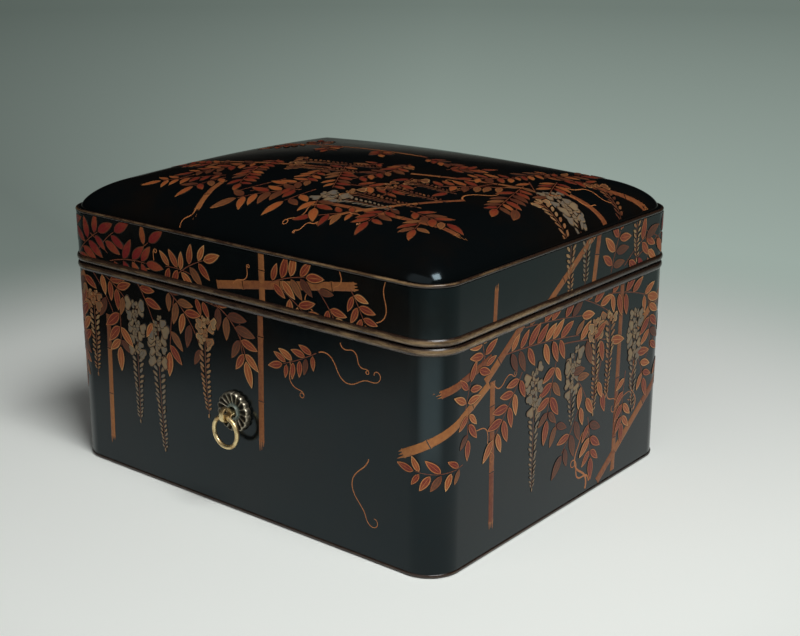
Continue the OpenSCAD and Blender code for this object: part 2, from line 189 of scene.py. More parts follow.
class BoxColours(bpy.types.PropertyGroup):
    """Colours of the box's finishes."""

    black: colour("Black", "Black lacquer", "#080b0c")
    faded: colour("Faded black", "Black lacquer where it has faded", "#120d09")
    bead: colour("Bead", "Brown lacquer on the beads", "#2e1f16")
    # Pale gold of the beads' crests, partly worn gold and partly a painted highlight
    bead_gold_and_highlight: colour("Bead gold", "Gold left on the beads' crests", "#8e7452")
    inside: colour("Inside", "Red-brown lacquer inside", "#3a1a0f")
    flake: colour("Flake", "Gold flakes in the inside lacquer", "#a87a3c")
    leaf_red: colour("Leaf red", "Red of the leaflets", "#6a2118")
    leaf_amber: colour("Leaf amber", "Amber of the leaflets", "#9a542a")
    leaf_crimson: colour("Leaf crimson", "Crimson of the lid's leaflets", "#74181c")
    worn_dark: colour("Worn brown", "Brown of leaflets rubbed thin", "#4c2a1c")
    worn_gold: colour("Worn gold", "Dull gold of leaflets rubbed thin", "#74482c")
    line_amber: colour("Line amber", "Amber of the lines", "#aa6638")
    line_gold: colour("Line gold", "Gold of the lines", "#c49560")
    pole_red: colour("Pole red", "Worn red of the poles", "#673120")
    pole_gold: colour("Pole gold", "Gold of the poles", "#a06839")
    pewter: colour("Pewter", "Grey metal powder on the flowers", "#67635e")
    bud_brown: colour("Bud brown", "Brown gold on the buds", "#7c5a3e")
    pale_gold: colour("Pale gold", "Pale gold on the buds", "#8c7759")
    # Also painted shade: the beads' quirks and the shaded patch on the floor
    edging: colour("Edging", "Black gap left around the raised work", "#0d0a09")
    brass: colour("Gilt brass", "Gilt of the rings and eyes", "#ead3a0")
    brass_dark: colour("Dark brass", "Brass where the gilt has worn", "#9c7440")
    bronze: colour("Dark bronze", "Rosettes' hollows", "#211d17")
    # Pale of the rosettes' ridges and tips, partly worn bronze and partly a painted highlight
    bronze_worn_and_highlight: colour("Worn bronze", "Rosettes' worn ridges", "#c9bfa8")
    verdigris: colour("Verdigris", "Grey-green bloom at the rosettes' middles", "#7d8c83")
    floor_near: colour("Floor", "Pale paper under the box", "#f4f8f3")
    sweep: colour("Sweep", "Paper sweep behind the box", "#8d9a93")
    floor_far: colour("Far floor", "The same paper in the distance", "#646f69")
    mirrored: colour("Mirrored tint", "Cool tint of what the black lacquer mirrors", "#d8f4ff")
    horizon: colour("Horizon", "The dark room at its horizon", "#4d4a44")
    room: colour("Dark room", "The dark room above its horizon", "#060606")


# Materials


def add(tree, kind, inputs=None, **settings):
    """Adds a shader node: settings are its properties, inputs its sockets' values or links."""
    node = tree.nodes.new("ShaderNode" + kind)
    for key, value in settings.items():
        setattr(node, key, value)
    for key, value in (inputs or {}).items():
        if isinstance(value, bpy.types.NodeSocket):
            tree.links.new(value, node.inputs[key])
        else:
            node.inputs[key].default_value = value
    return node


def start_material(name):
    """An empty node material and its tree."""
    material = bpy.data.materials.new(name)
    material.use_nodes = True
    material.node_tree.nodes.clear()
    return material, material.node_tree


def rgba(colour_value):
    """A colour property with its alpha."""
    return (*colour_value, 1.0)


def per(size):
    """Scale of a pattern whose features are this many millimetres apart."""
    return 1 / (size * MM)


# Numbers of a colour Mix node's sockets
FACTOR, FIRST, SECOND, MIXED = 0, 6, 7, 2


def make_black_lacquer(colours):
    # Polished black lacquer on wood: many brushed coats, ground flat and rubbed to a mirror. The eye
    # sees deep black with sharp, slightly wavering reflections, browner where light has faded it.
    material, tree = start_material("polished_black_lacquer")
    place = add(tree, "TexCoord").outputs["Object"]
    patches = add(tree, "TexNoise", {"Vector": place, "Scale": per(70), "Detail": 5.0,
                                     "Roughness": 0.62})
    faded = add(tree, "MapRange", {"Value": patches.outputs[0], "From Min": 0.45, "From Max": 0.75})
    tint = add(tree, "Mix", {FACTOR: faded.outputs[0], FIRST: rgba(colours.black),
                             SECOND: rgba(colours.faded)}, data_type="RGBA")
    rubbing = add(tree, "TexNoise", {"Vector": place, "Scale": per(14), "Detail": 8.0,
                                     "Roughness": 0.7})
    gloss = add(tree, "MapRange", {"Value": rubbing.outputs[0], "From Min": 0.3, "From Max": 0.75,
                                   "To Min": 0.1, "To Max": 0.2})
    waver = add(tree, "TexNoise", {"Vector": place, "Scale": per(45), "Detail": 2.0})
    relief = add(tree, "Bump", {"Height": waver.outputs[0], "Strength": 0.25, "Distance": 0.6 * MM})
    shader = add(tree, "BsdfPrincipled", {
        "Base Color": tint.outputs[MIXED], "Roughness": gloss.outputs[0],
        "Specular Tint": rgba(colours.mirrored), "Normal": relief.outputs[0], "IOR": 1.37})
    add(tree, "OutputMaterial", {"Surface": shader.outputs[0]})
    return material


def make_bead_lacquer(colours):
    # Brown lacquer rubbed with gold powder: handling has left the gold on the crests only, in streaks
    # along the bead, painted bright so that it is partly worn gold and partly a painted highlight.
    # Where that mark is low, chiefly in the quirks beside the bead, the brown goes nearly black:
    # painted shade.
    material, tree = start_material("gold_rubbed_brown_lacquer")
    place = add(tree, "TexCoord").outputs["Object"]
    along = add(tree, "Mapping", {"Vector": place, "Scale": (1.0, 1.0, 7.0)})
    streaks = add(tree, "TexNoise", {"Vector": along.outputs[0], "Scale": per(16), "Detail": 7.0,
                                     "Roughness": 0.68})
    crest = add(tree, "Attribute", attribute_name="wear_and_highlight")
    # Gold mask: worn gold on the crests, painted bright as their highlight
    rubbed = add(tree, "Math", {0: streaks.outputs[0], 1: crest.outputs["Fac"]}, operation="MULTIPLY")
    gold = add(tree, "MapRange", {"Value": rubbed.outputs[0], "From Min": 0.3, "From Max": 0.62})
    # Painted shade: nearly black where the mark is low, chiefly in the quirks beside the bead
    thin = add(tree, "MapRange", {"Value": crest.outputs["Fac"], "From Max": 0.45})
    brown = add(tree, "Mix", {FACTOR: thin.outputs[0], FIRST: rgba(colours.edging),
                              SECOND: rgba(colours.bead)}, data_type="RGBA")
    tint = add(tree, "Mix", {FACTOR: gold.outputs[0], FIRST: brown.outputs[MIXED],
                             SECOND: rgba(colours.bead_gold_and_highlight)}, data_type="RGBA")
    dull = add(tree, "MapRange", {"Value": streaks.outputs[0], "To Min": 0.14, "To Max": 0.4})
    relief = add(tree, "Bump", {"Height": streaks.outputs[0], "Strength": 0.3, "Distance": 0.2 * MM})
    shader = add(tree, "BsdfPrincipled", {
        "Base Color": tint.outputs[MIXED], "Roughness": dull.outputs[0],
        "Normal": relief.outputs[0], "IOR": 1.5})
    add(tree, "OutputMaterial", {"Surface": shader.outputs[0]})
    return material


def make_inside_lacquer(colours):
    # Red-brown lacquer strewn with gold flakes under a clear coat. Real flakes are about 0.3 mm;
    # they are drawn at 0.9 mm so that they show in the render.
    material, tree = start_material("gold_flaked_brown_lacquer")
    place = add(tree, "TexCoord").outputs["Object"]
    cells = add(tree, "TexVoronoi", {"Vector": place, "Scale": per(1.4), "Randomness": 1.0})
    flakes = add(tree, "MapRange", {"Value": cells.outputs["Distance"], "From Min": 0.38,
                                    "From Max": 0.22})
    drift = add(tree, "TexNoise", {"Vector": place, "Scale": per(30), "Detail": 3.0})
    strewn = add(tree, "Math", {0: flakes.outputs[0], 1: drift.outputs[0]}, operation="MULTIPLY")
    tint = add(tree, "Mix", {FACTOR: strewn.outputs[0], FIRST: rgba(colours.inside),
                             SECOND: rgba(colours.flake)}, data_type="RGBA")
    shader = add(tree, "BsdfPrincipled", {
        "Base Color": tint.outputs[MIXED], "Roughness": 0.24, "IOR": 1.5})
    add(tree, "OutputMaterial", {"Surface": shader.outputs[0]})
    return material


def make_gilt_brass(colours):
    # Brass wire and strap, mercury gilt and worn by the cord: bright gold that goes brown in
    # patches, with a soft, uneven shine.
    material, tree = start_material("worn_gilt_brass")
    place = add(tree, "TexCoord").outputs["Object"]
    patches = add(tree, "TexNoise", {"Vector": place, "Scale": per(5), "Detail": 6.0,
                                     "Roughness": 0.6})
    worn = add(tree, "MapRange", {"Value": patches.outputs[0], "From Min": 0.48, "From Max": 0.7})
    tint = add(tree, "Mix", {FACTOR: worn.outputs[0], FIRST: rgba(colours.brass),
                             SECOND: rgba(colours.brass_dark)}, data_type="RGBA")
    dull = add(tree, "MapRange", {"Value": patches.outputs[0], "To Min": 0.24, "To Max": 0.54})
    relief = add(tree, "Bump", {"Height": patches.outputs[0], "Strength": 0.4, "Distance": 0.12 * MM})
    shader = add(tree, "BsdfPrincipled", {
        "Base Color": tint.outputs[MIXED], "Metallic": 1.0, "Roughness": dull.outputs[0],
        "Normal": relief.outputs[0]})
    add(tree, "OutputMaterial", {"Surface": shader.outputs[0]})
    return material


def make_dark_bronze(colours):
    # Cast and chased bronze, patinated nearly black: the ridges and the petals' tips are painted pale,
    # partly rubbed bright and partly a painted highlight; the hollows stay dark with patina, and a
    # grey-green bloom sits around the collar.
    material, tree = start_material("patinated_bronze")
    place = add(tree, "TexCoord").outputs["Object"]
    grain = add(tree, "TexNoise", {"Vector": place, "Scale": per(2.2), "Detail": 6.0,
                                   "Roughness": 0.65})
    crest = add(tree, "Attribute", attribute_name="wear_and_highlight")
    bloom = add(tree, "Attribute", attribute_name="bloom")
    spread = add(tree, "MapRange", {"Value": grain.outputs[0], "From Min": 0.25, "From Max": 0.7,
                                    "To Min": 0.45, "To Max": 1.15})
    # Worn bronze and painted highlight on the ridges and tips
    rubbed = add(tree, "Math", {0: crest.outputs["Fac"], 1: spread.outputs[0]}, operation="MULTIPLY",
                 use_clamp=True)
    bare = add(tree, "Mix", {FACTOR: rubbed.outputs[0], FIRST: rgba(colours.bronze),
                             SECOND: rgba(colours.bronze_worn_and_highlight)}, data_type="RGBA")
    green = add(tree, "Math", {0: bloom.outputs["Fac"], 1: spread.outputs[0]}, operation="MULTIPLY",
                use_clamp=True)
    tint = add(tree, "Mix", {FACTOR: green.outputs[0], FIRST: bare.outputs[MIXED],
                             SECOND: rgba(colours.verdigris)}, data_type="RGBA")
    metal = add(tree, "MapRange", {"Value": green.outputs[0], "To Min": 0.85, "To Max": 0.1})
    dull = add(tree, "MapRange", {"Value": rubbed.outputs[0], "To Min": 0.5, "To Max": 0.26})
    relief = add(tree, "Bump", {"Height": grain.outputs[0], "Strength": 0.35, "Distance": 0.1 * MM})
    shader = add(tree, "BsdfPrincipled", {
        "Base Color": tint.outputs[MIXED], "Metallic": metal.outputs[0],
        "Roughness": dull.outputs[0], "Normal": relief.outputs[0]})
    add(tree, "OutputMaterial", {"Surface": shader.outputs[0]})
    return material


def make_powder(colours, name, first, second, size, sheen):
    # Metal powder strewn into wet coloured lacquer and rubbed down: a grainy, softly shining skin
    # whose colour runs along each leaf or pole and differs from one to the next. Real powder is
    # finer than 0.1 mm; it is drawn coarser so that it shows.
    material, tree = start_material(name)
    place = add(tree, "TexCoord").outputs["Object"]
    powder = add(tree, "TexNoise", {"Vector": place, "Scale": per(size), "Detail": 5.0,
                                    "Roughness": 0.75})
    tone = add(tree, "Attribute", attribute_name="tone")
    speck = add(tree, "MapRange", {"Value": powder.outputs[0], "From Min": 0.3, "From Max": 0.7,
                                   "To Min": -0.28, "To Max": 0.28})
    share = add(tree, "Math", {0: tone.outputs["Fac"], 1: speck.outputs[0]}, operation="ADD",
                use_clamp=True)
    tint = add(tree, "Mix", {FACTOR: share.outputs[0], FIRST: rgba(getattr(colours, first)),
                             SECOND: rgba(getattr(colours, second))}, data_type="RGBA")
    relief = add(tree, "Bump", {"Height": powder.outputs[0], "Strength": 0.3, "Distance": 0.06 * MM})
    shader = add(tree, "BsdfPrincipled", {
        "Base Color": tint.outputs[MIXED], "Metallic": sheen, "Roughness": 0.42,
        "Specular IOR Level": 0.25, "Normal": relief.outputs[0], "IOR": 1.5})
    add(tree, "OutputMaterial", {"Surface": shader.outputs[0]})
    return material


MAKERS = {"black_lacquer": make_black_lacquer, "bead_lacquer": make_bead_lacquer,
          "inside_lacquer": make_inside_lacquer, "gilt_brass": make_gilt_brass,
          "dark_bronze": make_dark_bronze}
# Powders of the raised work: material, its two colours, size of the powder and share of metal
POWDERS = {
    "edging": ("black_gap_lacquer", "edging", "black", 1.6, 0.0),
    "line_gold": ("gold_line_powder", "line_amber", "line_gold", 1.2, 0.2),
    "leaf_red": ("red_leaf_lacquer", "leaf_red", "leaf_amber", 1.8, 0.1),
    "leaf_crimson": ("crimson_leaf_lacquer", "leaf_crimson", "leaf_amber", 1.8, 0.1),
    "leaf_worn": ("worn_leaf_lacquer", "worn_dark", "worn_gold", 1.8, 0.1),
    "pole_gold": ("worn_pole_lacquer", "pole_red", "pole_gold", 2.4, 0.15),
    "pewter": ("pewter_powder", "pale_gold", "pewter", 1.2, 0.25),
    "pale_gold": ("pale_gold_powder", "bud_brown", "pale_gold", 1.2, 0.25),
}


def finish(name):
    """The material of a finish, made the first time that a piece asks for it."""
    scene = bpy.context.scene
    made = dict(scene.get("box_finishes", {}))
    if name not in made:
        colours = scene.box_colours
        if name in POWDERS:
            material = make_powder(colours, *POWDERS[name])
        else:
            material = MAKERS[name](colours)
        made[name] = material.name
        scene["box_finishes"] = made
    return bpy.data.materials[made[name]]


# Meshes


def make_piece(name, shell, finishes, body, stands_for=(), marks=None):
    """Makes one piece of a shell: points in millimetres, faces and the numbers of their finishes.

    Marks are values at the points, such as their wear.
    """
    points, faces, numbers = shell
    mesh = bpy.data.meshes.new(name)
    mesh.from_pydata([Vector(p) * MM for p in points], [], faces)
    for finish_name in finishes:
        mesh.materials.append(finish(finish_name))
    mesh.polygons.foreach_set("material_index", numbers)
    for key, values in (marks or {}).items():
        mesh.attributes.new(key, "FLOAT", "POINT").data.foreach_set("value", values)
    mesh.shade_smooth()
    mesh.set_sharp_from_angle(angle=math.radians(CREASE))
    piece = bpy.data.objects.new(name, mesh)
    bpy.context.scene.collection.objects.link(piece)
    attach(piece, body)
    if stands_for:
        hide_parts(*stands_for)


def loft(rings, strips=None, closed=False, capped=False):
    """Shell over rings of equal length; strips are the numbers of the finishes between them."""
    count = len(rings[0])
    points = [p for ring in rings for p in ring]
    faces = []
    numbers = []
    for i in range(len(rings) if closed else len(rings) - 1):
        low = i * count
        high = (i + 1) % len(rings) * count
        for j in range(count):
            k = (j + 1) % count
            faces.append((low + j, low + k, high + k, high + j))
            numbers.append(strips[i] if strips else 0)
    if capped:
        last = len(points) - count
        faces.append(tuple(reversed(range(count))))
        faces.append(tuple(range(last, len(points))))
        numbers.extend((strips[0], strips[-1]) if strips else (0, 0))
    return points, faces, numbers


def turned(x, y, quarters):
    """A point of the plan after quarter turns against the clock."""
    for _ in range(quarters):
        x, y = -y, x
    return x, y


def plan_outline(half_x, half_y, corner, power=2.0):
    """Plan of a rounded rectangle, against the clock; the power gives the corners' squareness."""
    points = []
    for k in range(4):
        a, b = (half_x, half_y) if k % 2 == 0 else (half_y, half_x)
        side = [(a, (b - corner) * (2 * i / SIDE_STEPS - 1)) for i in range(SIDE_STEPS)]
        for i in range(CORNER_STEPS):
            t = math.pi / 2 * i / CORNER_STEPS
            side.append((a - corner + corner * math.cos(t) ** (2 / power),
                         b - corner + corner * math.sin(t) ** (2 / power)))
        points += [turned(x, y, k) for x, y in side]
    return points


def edge_ring(out, z):
    """Plan of the box at a distance out from its walls."""
    plan = plan_outline(HALF_L + out, HALF_W + out, CORNER_R + out)
    return [(x, y, z) for x, y in plan]


def swept(section, strips=None):
    """A closed section of (out, z) points carried around the box."""
    return loft([edge_ring(out, z) for out, z in section], strips, closed=True)


def low_arc(half, rise):
    """Radius of an arc of a half width and a rise, and its points' angles from end to end."""
    radius = (half * half + rise * rise) / (2 * rise)
    spread = math.asin(half / radius)
    return radius, [spread * (2 * i / BEAD_STEPS - 1) for i in range(BEAD_STEPS + 1)]


def half_round(z0, z1, out, inward):
    """Section of a half-round bead that is let into a wall."""
    half = (z1 - z0) / 2
    radius, angles = low_arc(half, out)
    face = [(out - radius + radius * math.cos(a), z0 + half + radius * math.sin(a)) for a in angles]
    return [(-inward, z0), *face, (-inward, z1)]


def normals(path):
    """Unit vectors to the left of a path at each of its points."""
    out = []
    for i in range(len(path)):
        x0, y0 = path[max(0, i - 1)]
        x1, y1 = path[min(len(path) - 1, i + 1)]
        run = math.hypot(x1 - x0, y1 - y0) or 1.0
        out.append((-(y1 - y0) / run, (x1 - x0) / run))
    return out


def share_between(value, start, end):
    """How far a value has come from one end to the other, from 0 to 1."""
    return max(0.0, min(1.0, (value - start) / (end - start)))


def cos_sin(degrees):
    """Cosine and sine of an angle in degrees."""
    return math.cos(math.radians(degrees)), math.sin(math.radians(degrees))


# Gold left on the beads, partly worn gold and partly their painted highlight. To the right it grows
# from its least, between two shares of the half length. To the rear some is lost, over a share of the
# half width from where it starts to thin.
GOLD_LEAST, GOLD_GAIN, GAIN_START, GAIN_END = 0.74, 0.26, 0.2, 0.8
GOLD_LOSS, LOSS_RUN = 0.6, 0.95
THIN_FROM, RIDGE_THIN_FROM = -0.36, -0.96
# Share of gold on the foot bead, and how far above level the ridge bead's gold band is turned, up
# towards the lamps, as a painted highlight along its top
FOOT_GILT = 0.62
RIDGE_HIGHLIGHT_TILT = math.radians(34)


def make_bead(node, section, body, crests=None, gilt=1.0, thin_from=THIN_FROM):
    """Shows a bead's solid as a bead around the box, marked on its crest with worn gold and painted
    highlight.
    """
    shell = swept(section)
    reach = max(out for out, _ in section)
    crests = crests or [max(0.0, out / reach) for out, _ in section]
    count = len(shell[0]) // len(section)
    wear_and_highlight = []
    for i, (x, y, _) in enumerate(shell[0]):
        near = GOLD_LEAST + GOLD_GAIN * share_between(x / HALF_L, GAIN_START, GAIN_END)
        left = 1 - GOLD_LOSS * share_between(y / HALF_W, thin_from, thin_from + LOSS_RUN)
        wear_and_highlight.append(crests[i // count] * near * left * gilt)
    make_piece(f"shown_{node}", shell, ["bead_lacquer"], body, [node], {"wear_and_highlight": wear_and_highlight})


# Case, lid and tray

WALLS = ("front_wall", "rear_wall", "left_wall", "right_wall")
WALL_FINISHES = ["black_lacquer", "inside_lacquer"]
OUTER, INNER = range(2)
# Eased edges of the lip and the tray, in millimetres
LIP_EASE = 0.6
TRAY_EASE = 0.8
# Last contour of the crown's shoulder, as a share of a quarter turn, and scales of those inside it
SHOULDER_END = 0.985
CROWN_SCALES = (0.93, 0.84, 0.73, 0.6, 0.46, 0.3, 0.14)


class COSMETICBOX_OT_case(bpy.types.Operator):
    """Make the case's lacquered walls, floor, lip and beads"""

    bl_idname = "cosmetic_box.case"
    bl_label = "Case"

    def execute(self, context):
        form = context.scene.box_form
        bead_in = form.bead_in / MM
        rebate_x = form.floor_rebate / MM - WALL_T
        section = [(rebate_x, 0), (-bead_in, 0), (-bead_in, FOOT_H), (0, FOOT_H), (0, CASE_BEAD_Z),
                   (-bead_in, CASE_BEAD_Z), (-bead_in, MOUTH_Z), (-WALL_T, MOUTH_Z),
                   (-WALL_T, FLOOR_T), (rebate_x, FLOOR_T)]
        walls = swept(section, [OUTER] * 6 + [INNER] * 4)
        make_piece("shown_case_walls", walls, WALL_FINISHES, "case",
                   [f"case_{w}" for w in WALLS] + ["case_corner_posts"])
        rings = [edge_ring(-FLOOR_IN, 0), edge_ring(-FLOOR_IN, FLOOR_T)]
        points, faces, numbers = loft(rings, capped=True)
        numbers[-1] = INNER
        make_piece("shown_case_floor", (points, faces, numbers), WALL_FINISHES, "case",
                   ["case_floor"])
        lip_x = -WALL_T - form.lip_t / MM
        section = [(lip_x, LIP_Z0), (-WALL_T, LIP_Z0), (-WALL_T, LIP_Z1 - LIP_EASE),
                   (-WALL_T - LIP_EASE, LIP_Z1), (lip_x + LIP_EASE, LIP_Z1),
                   (lip_x, LIP_Z1 - LIP_EASE)]
        make_piece("shown_case_mouth_lip", swept(section), ["inside_lacquer"], "case",
                   ["case_mouth_lip"])
        make_bead("case_mouth_bead",
                  half_round(CASE_BEAD_Z, MOUTH_Z, CASE_BEAD_OUT, bead_in), "case")
        make_bead("case_foot_bead", half_round(0, FOOT_H, FOOT_OUT, bead_in), "case",
                  gilt=FOOT_GILT)
        return {"FINISHED"}


def crown_foot(form):
    """Half sizes of the crown's foot, its height, and the rise of the shoulder above it."""
    ledge = form.ledge_w / MM
    rise = form.shoulder_h / MM
    return HALF_L - ledge, HALF_W - ledge, CROWN_TOP - rise - form.crown_rise / MM, rise


def crown_height(x, y, half_x, half_y, rise, form):
    """Height of a crown over its foot at a point of its plan."""
    wide = form.shoulder_w / MM
    u = max(0.0, 1 - (half_x - abs(x)) / wide)
    v = max(0.0, 1 - (half_y - abs(y)) / wide)
    t = min(1.0, (u ** form.plan_power + v ** form.plan_power) ** (1 / form.plan_power))
    shoulder = rise * (1 - t ** form.section_power) ** (1 / form.section_power)
    middle = (1 - (x / half_x) ** 2) * (1 - (y / half_y) ** 2)
    return shoulder + form.crown_rise / MM * middle


def crown_rings(half_x, half_y, foot, rise, form):
    """Contours of a crown from its edge to near its middle."""
    wide = form.shoulder_w / MM
    rings = []
    for i in range(SHOULDER_STEPS + 1):
        t = math.cos(math.pi / 2 * SHOULDER_END * i / SHOULDER_STEPS) ** (2 / form.section_power)
        rings.append(plan_outline(half_x - wide * (1 - t), half_y - wide * (1 - t), wide * t,
                                  form.plan_power))
    inside = rings[-1]
    rings += [[(s * x, s * y) for x, y in inside] for s in CROWN_SCALES]
    return [[(x, y, foot + crown_height(x, y, half_x, half_y, rise, form)) for x, y in ring]
            for ring in rings]


class COSMETICBOX_OT_lid(bpy.types.Operator):
    """Make the lid's lacquered walls with their crown, and its beads"""

    bl_idname = "cosmetic_box.lid"
    bl_label = "Lid"

    def execute(self, context):
        form = context.scene.box_form
        bead_in = form.bead_in / MM
        half_x, half_y, ledge_z, rise = crown_foot(form)
        hollow_h = ledge_z + rise - form.crown_t / MM - FLANGE_Z
        hollow = crown_rings(HALF_L - LID_WALL_T, HALF_W - LID_WALL_T, FLANGE_Z, hollow_h, form)
        crown = crown_rings(half_x, half_y, ledge_z, rise, form)
        wall = [edge_ring(out, z) for out, z in (
            (-LID_WALL_T, FLANGE_Z), (-LID_WALL_T, MOUTH_Z), (-bead_in, MOUTH_Z),
            (-bead_in, LID_BEAD_Z1), (0, LID_BEAD_Z1), (0, RIDGE_Z0), (-RIDGE_IN, RIDGE_Z0),
            (-RIDGE_IN, ledge_z))]
        rings = hollow[::-1] + wall + crown
        inside = len(hollow) + 1
        strips = [INNER] * inside + [OUTER] * (len(rings) - 1 - inside)
        make_piece("shown_lid_walls", loft(rings, strips, capped=True), WALL_FINISHES, "lid",
                   [f"lid_{w}" for w in WALLS] + ["lid_corner_posts", "lid_crown"])
        make_bead("lid_mouth_bead",
                  half_round(LID_BEAD_Z0, LID_BEAD_Z1, LID_BEAD_OUT, bead_in), "lid")
        middle_x, middle_z = RIDGE_OUT - RIDGE_R, RIDGE_Z0 + RIDGE_R
        section = [(-RIDGE_IN, middle_z), (-RIDGE_IN, RIDGE_Z0)]
        crests = [0.0, 0.0]
        for i in range(2 * BEAD_STEPS + 1):
            a = math.pi * (1.5 * i / (2 * BEAD_STEPS) - 0.5)
            section.append((middle_x + RIDGE_R * math.cos(a), middle_z + RIDGE_R * math.sin(a)))
            # The band faces up towards the lamps: a painted highlight along the ridge bead's top
            crests.append(max(0.0, math.cos(a - RIDGE_HIGHLIGHT_TILT)) ** 2)
        make_bead("lid_ridge_bead", section, "lid", crests, thin_from=RIDGE_THIN_FROM)
        return {"FINISHED"}


class COSMETICBOX_OT_tray(bpy.types.Operator):
    """Make the tray that hangs inside the case, and its rim"""

    bl_idname = "cosmetic_box.tray"
    bl_label = "Tray"

    def execute(self, context):
        deep = -TRAY_IN - TRAY_T
        floor_top = TRAY_Z + TRAY_FLOOR_T
        rings = [edge_ring(out, z) for out, z in (
            (-TRAY_IN - TRAY_EASE, TRAY_Z), (-TRAY_IN, TRAY_Z + TRAY_EASE), (-TRAY_IN, LIP_Z1),
            (deep, LIP_Z1), (deep, floor_top + TRAY_EASE), (deep - TRAY_EASE, floor_top))]
        make_piece("shown_tray", loft(rings, capped=True), ["inside_lacquer"], "tray",
                   [f"tray_{w}" for w in WALLS] + ["tray_floor", "tray_corner_pieces"])
        wide = -WALL_T - deep
        middle = -WALL_T - wide / 2
        radius, angles = low_arc(wide / 2, context.scene.box_form.rim_crown / MM)
        section = [(deep, LIP_Z1), (-WALL_T, LIP_Z1)]
        for a in angles:
            section.append((middle - radius * math.sin(a), RIM_Z1 - radius + radius * math.cos(a)))
        rim = swept(section)
        count = len(rim[0]) // len(section)
        crest = [share_between(z, LIP_Z1, RIM_Z1) for _, z in section]
        # The rim's top takes the beads' gold and painted highlight, and its lower edges their
        # near-black painted shade
        wear_and_highlight = [c * c for c in crest for _ in range(count)]
        make_piece("shown_tray_rim", rim, ["bead_lacquer"], "tray", ["tray_rim"],
                   {"wear_and_highlight": wear_and_highlight})
        return {"FINISHED"}


# Ring fittings

# Petals from the collar at 0 to the tip at 1: their highest place, the inside of their lip, their
# rows, the steps across one, the middle and width of the worn lip, and the reach of the bloom
PETAL_CREST = 0.84
PETAL_LIP = 0.92
PETAL_ROWS = (1.0, 0.985, 0.965, 0.94, 0.92, 0.88, 0.84, 0.77, 0.68, 0.57, 0.45, 0.33, 0.22, 0.12,
              0.05)
PETAL_STEPS = 12
LIP_WORN, LIP_WIDTH = 0.93, 0.05
BLOOM_REACH = 0.16
# Collar: steps around it and across its crown, wear and bloom
COLLAR_STEPS, COLLAR_ACROSS = 48, 8
COLLAR_WEAR, COLLAR_BLOOM = 0.25, 0.8
# Eye: the bend of a leg, where the loop leaves it in radii, half the loop's turn and its steps, the
# rounding of the strap's edges, and the share by which it narrows from the collar to the loop
LEG_BEND = ((0.9, 0.0), (0.2, 0.25), (0.0, 0.9))
LOOP_FOOT = 1.3
LOOP_TURN, LOOP_STEPS = math.radians(157), 35
STRAP_EDGE = 0.38
EYE_WAIST = 0.4
# Steps along and around a ring's wire
RING_STEPS, WIRE_STEPS = 112, 28


def on_wall(side, shell):
    """A fitting's shell, from across, up and out of its wall to the box's frame."""
    points, faces, numbers = shell
    turn = 1 if side == "front" else -1
    return [(turn * x, turn * (-HALF_W - z), FITTING_Z + y) for x, y, z in points], faces, numbers


def circle(radius, z, count):
    """Points of a circle at a height over the wall."""
    angles = [2 * math.pi * i / count for i in range(count)]
    return [(radius * math.cos(a), radius * math.sin(a), z) for a in angles]


def petal_point(angle, w, form):
    """Point, worn-and-highlight mark and bloom of a rosette's face; w runs from the collar at 0 to the
    tip at 1.
    """
    turn = angle * form.petals / (2 * math.pi)
    s = 2 * (turn - math.floor(turn)) - 1
    seat = form.seat / MM
    edge = form.edge / MM
    if w < PETAL_CREST:
        line = seat + (ROSETTE_H - seat) * math.sin(math.pi / 2 * w / PETAL_CREST)
    else:
        fall = (w - PETAL_CREST) / (1 - PETAL_CREST)
        line = edge + (ROSETTE_H - edge) * math.sqrt(1 - fall * fall)
    reach = ROSETTE_R - form.scallop / MM * s * s
    radius = COLLAR_R + w * (reach - COLLAR_R)
    hollow = form.flute / MM * math.sin(math.pi * min(1.0, w / PETAL_LIP)) * (1 - s * s)
    height = max(edge, line - hollow)
    # The ridges are worn most near the collar, and the lip most in the middle of each petal; this pale
    # mark is also a painted highlight on the ridges and the petals' tips
    lip = math.exp(-((w - LIP_WORN) / LIP_WIDTH) ** 2)
    wear_and_highlight = min(1.0, s ** 6 * (1 - 0.3 * w) + 0.9 * lip * (1 - 0.4 * s * s))
    bloom = max(0.0, 1 - w / BLOOM_REACH)
    return (radius * math.cos(angle), radius * math.sin(angle), height), wear_and_highlight, bloom


def make_rosette(side, form):
    """A chrysanthemum rosette with hollow petals, sharp ridges and raised tips."""
    count = form.petals * PETAL_STEPS
    angles = [2 * math.pi * i / count for i in range(count)]
    bore = form.bore / MM
    rings = [circle(bore, 0, count)]
    wear_and_highlight = [0.0] * count
    bloom = [0.0] * count
    for w in (None, *PETAL_ROWS):
        row = [petal_point(a, 1.0 if w is None else w, form) for a in angles]
        rings.append([(p[0], p[1], 0 if w is None else p[2]) for p, _, _ in row])
        wear_and_highlight += [worn for _, worn, _ in row]
        bloom += [green for _, _, green in row]
    for radius in (COLLAR_R, bore):
        rings.append(circle(radius, form.seat / MM, count))
        wear_and_highlight += [0.0] * count
        bloom += [1.0] * count
    make_piece(f"shown_{side}_rosette", on_wall(side, loft(rings, closed=True)), ["dark_bronze"],
               "case", [f"{side}_rosette"], {"wear_and_highlight": wear_and_highlight, "bloom": bloom})


def make_collar(side, form):
    """A crowned collar around the eye's stem."""
    bore = form.bore / MM
    seat = form.seat / MM
    middle = (COLLAR_R + bore) / 2
    half = (COLLAR_R - bore) / 2
    section = [(bore, seat), (COLLAR_R, seat)]
    for i in range(COLLAR_ACROSS + 1):
        share = 1 - 2 * i / COLLAR_ACROSS
        section.append((middle + half * share, COLLAR_TOP - form.collar_crown / MM * share * share))
    rings = [circle(radius, z, COLLAR_STEPS) for radius, z in section]
    count = len(rings) * COLLAR_STEPS
    make_piece(f"shown_{side}_collar", on_wall(side, loft(rings, closed=True)), ["dark_bronze"],
               "case", [f"{side}_collar"],
               {"wear_and_highlight": [COLLAR_WEAR] * count, "bloom": [COLLAR_BLOOM] * count})


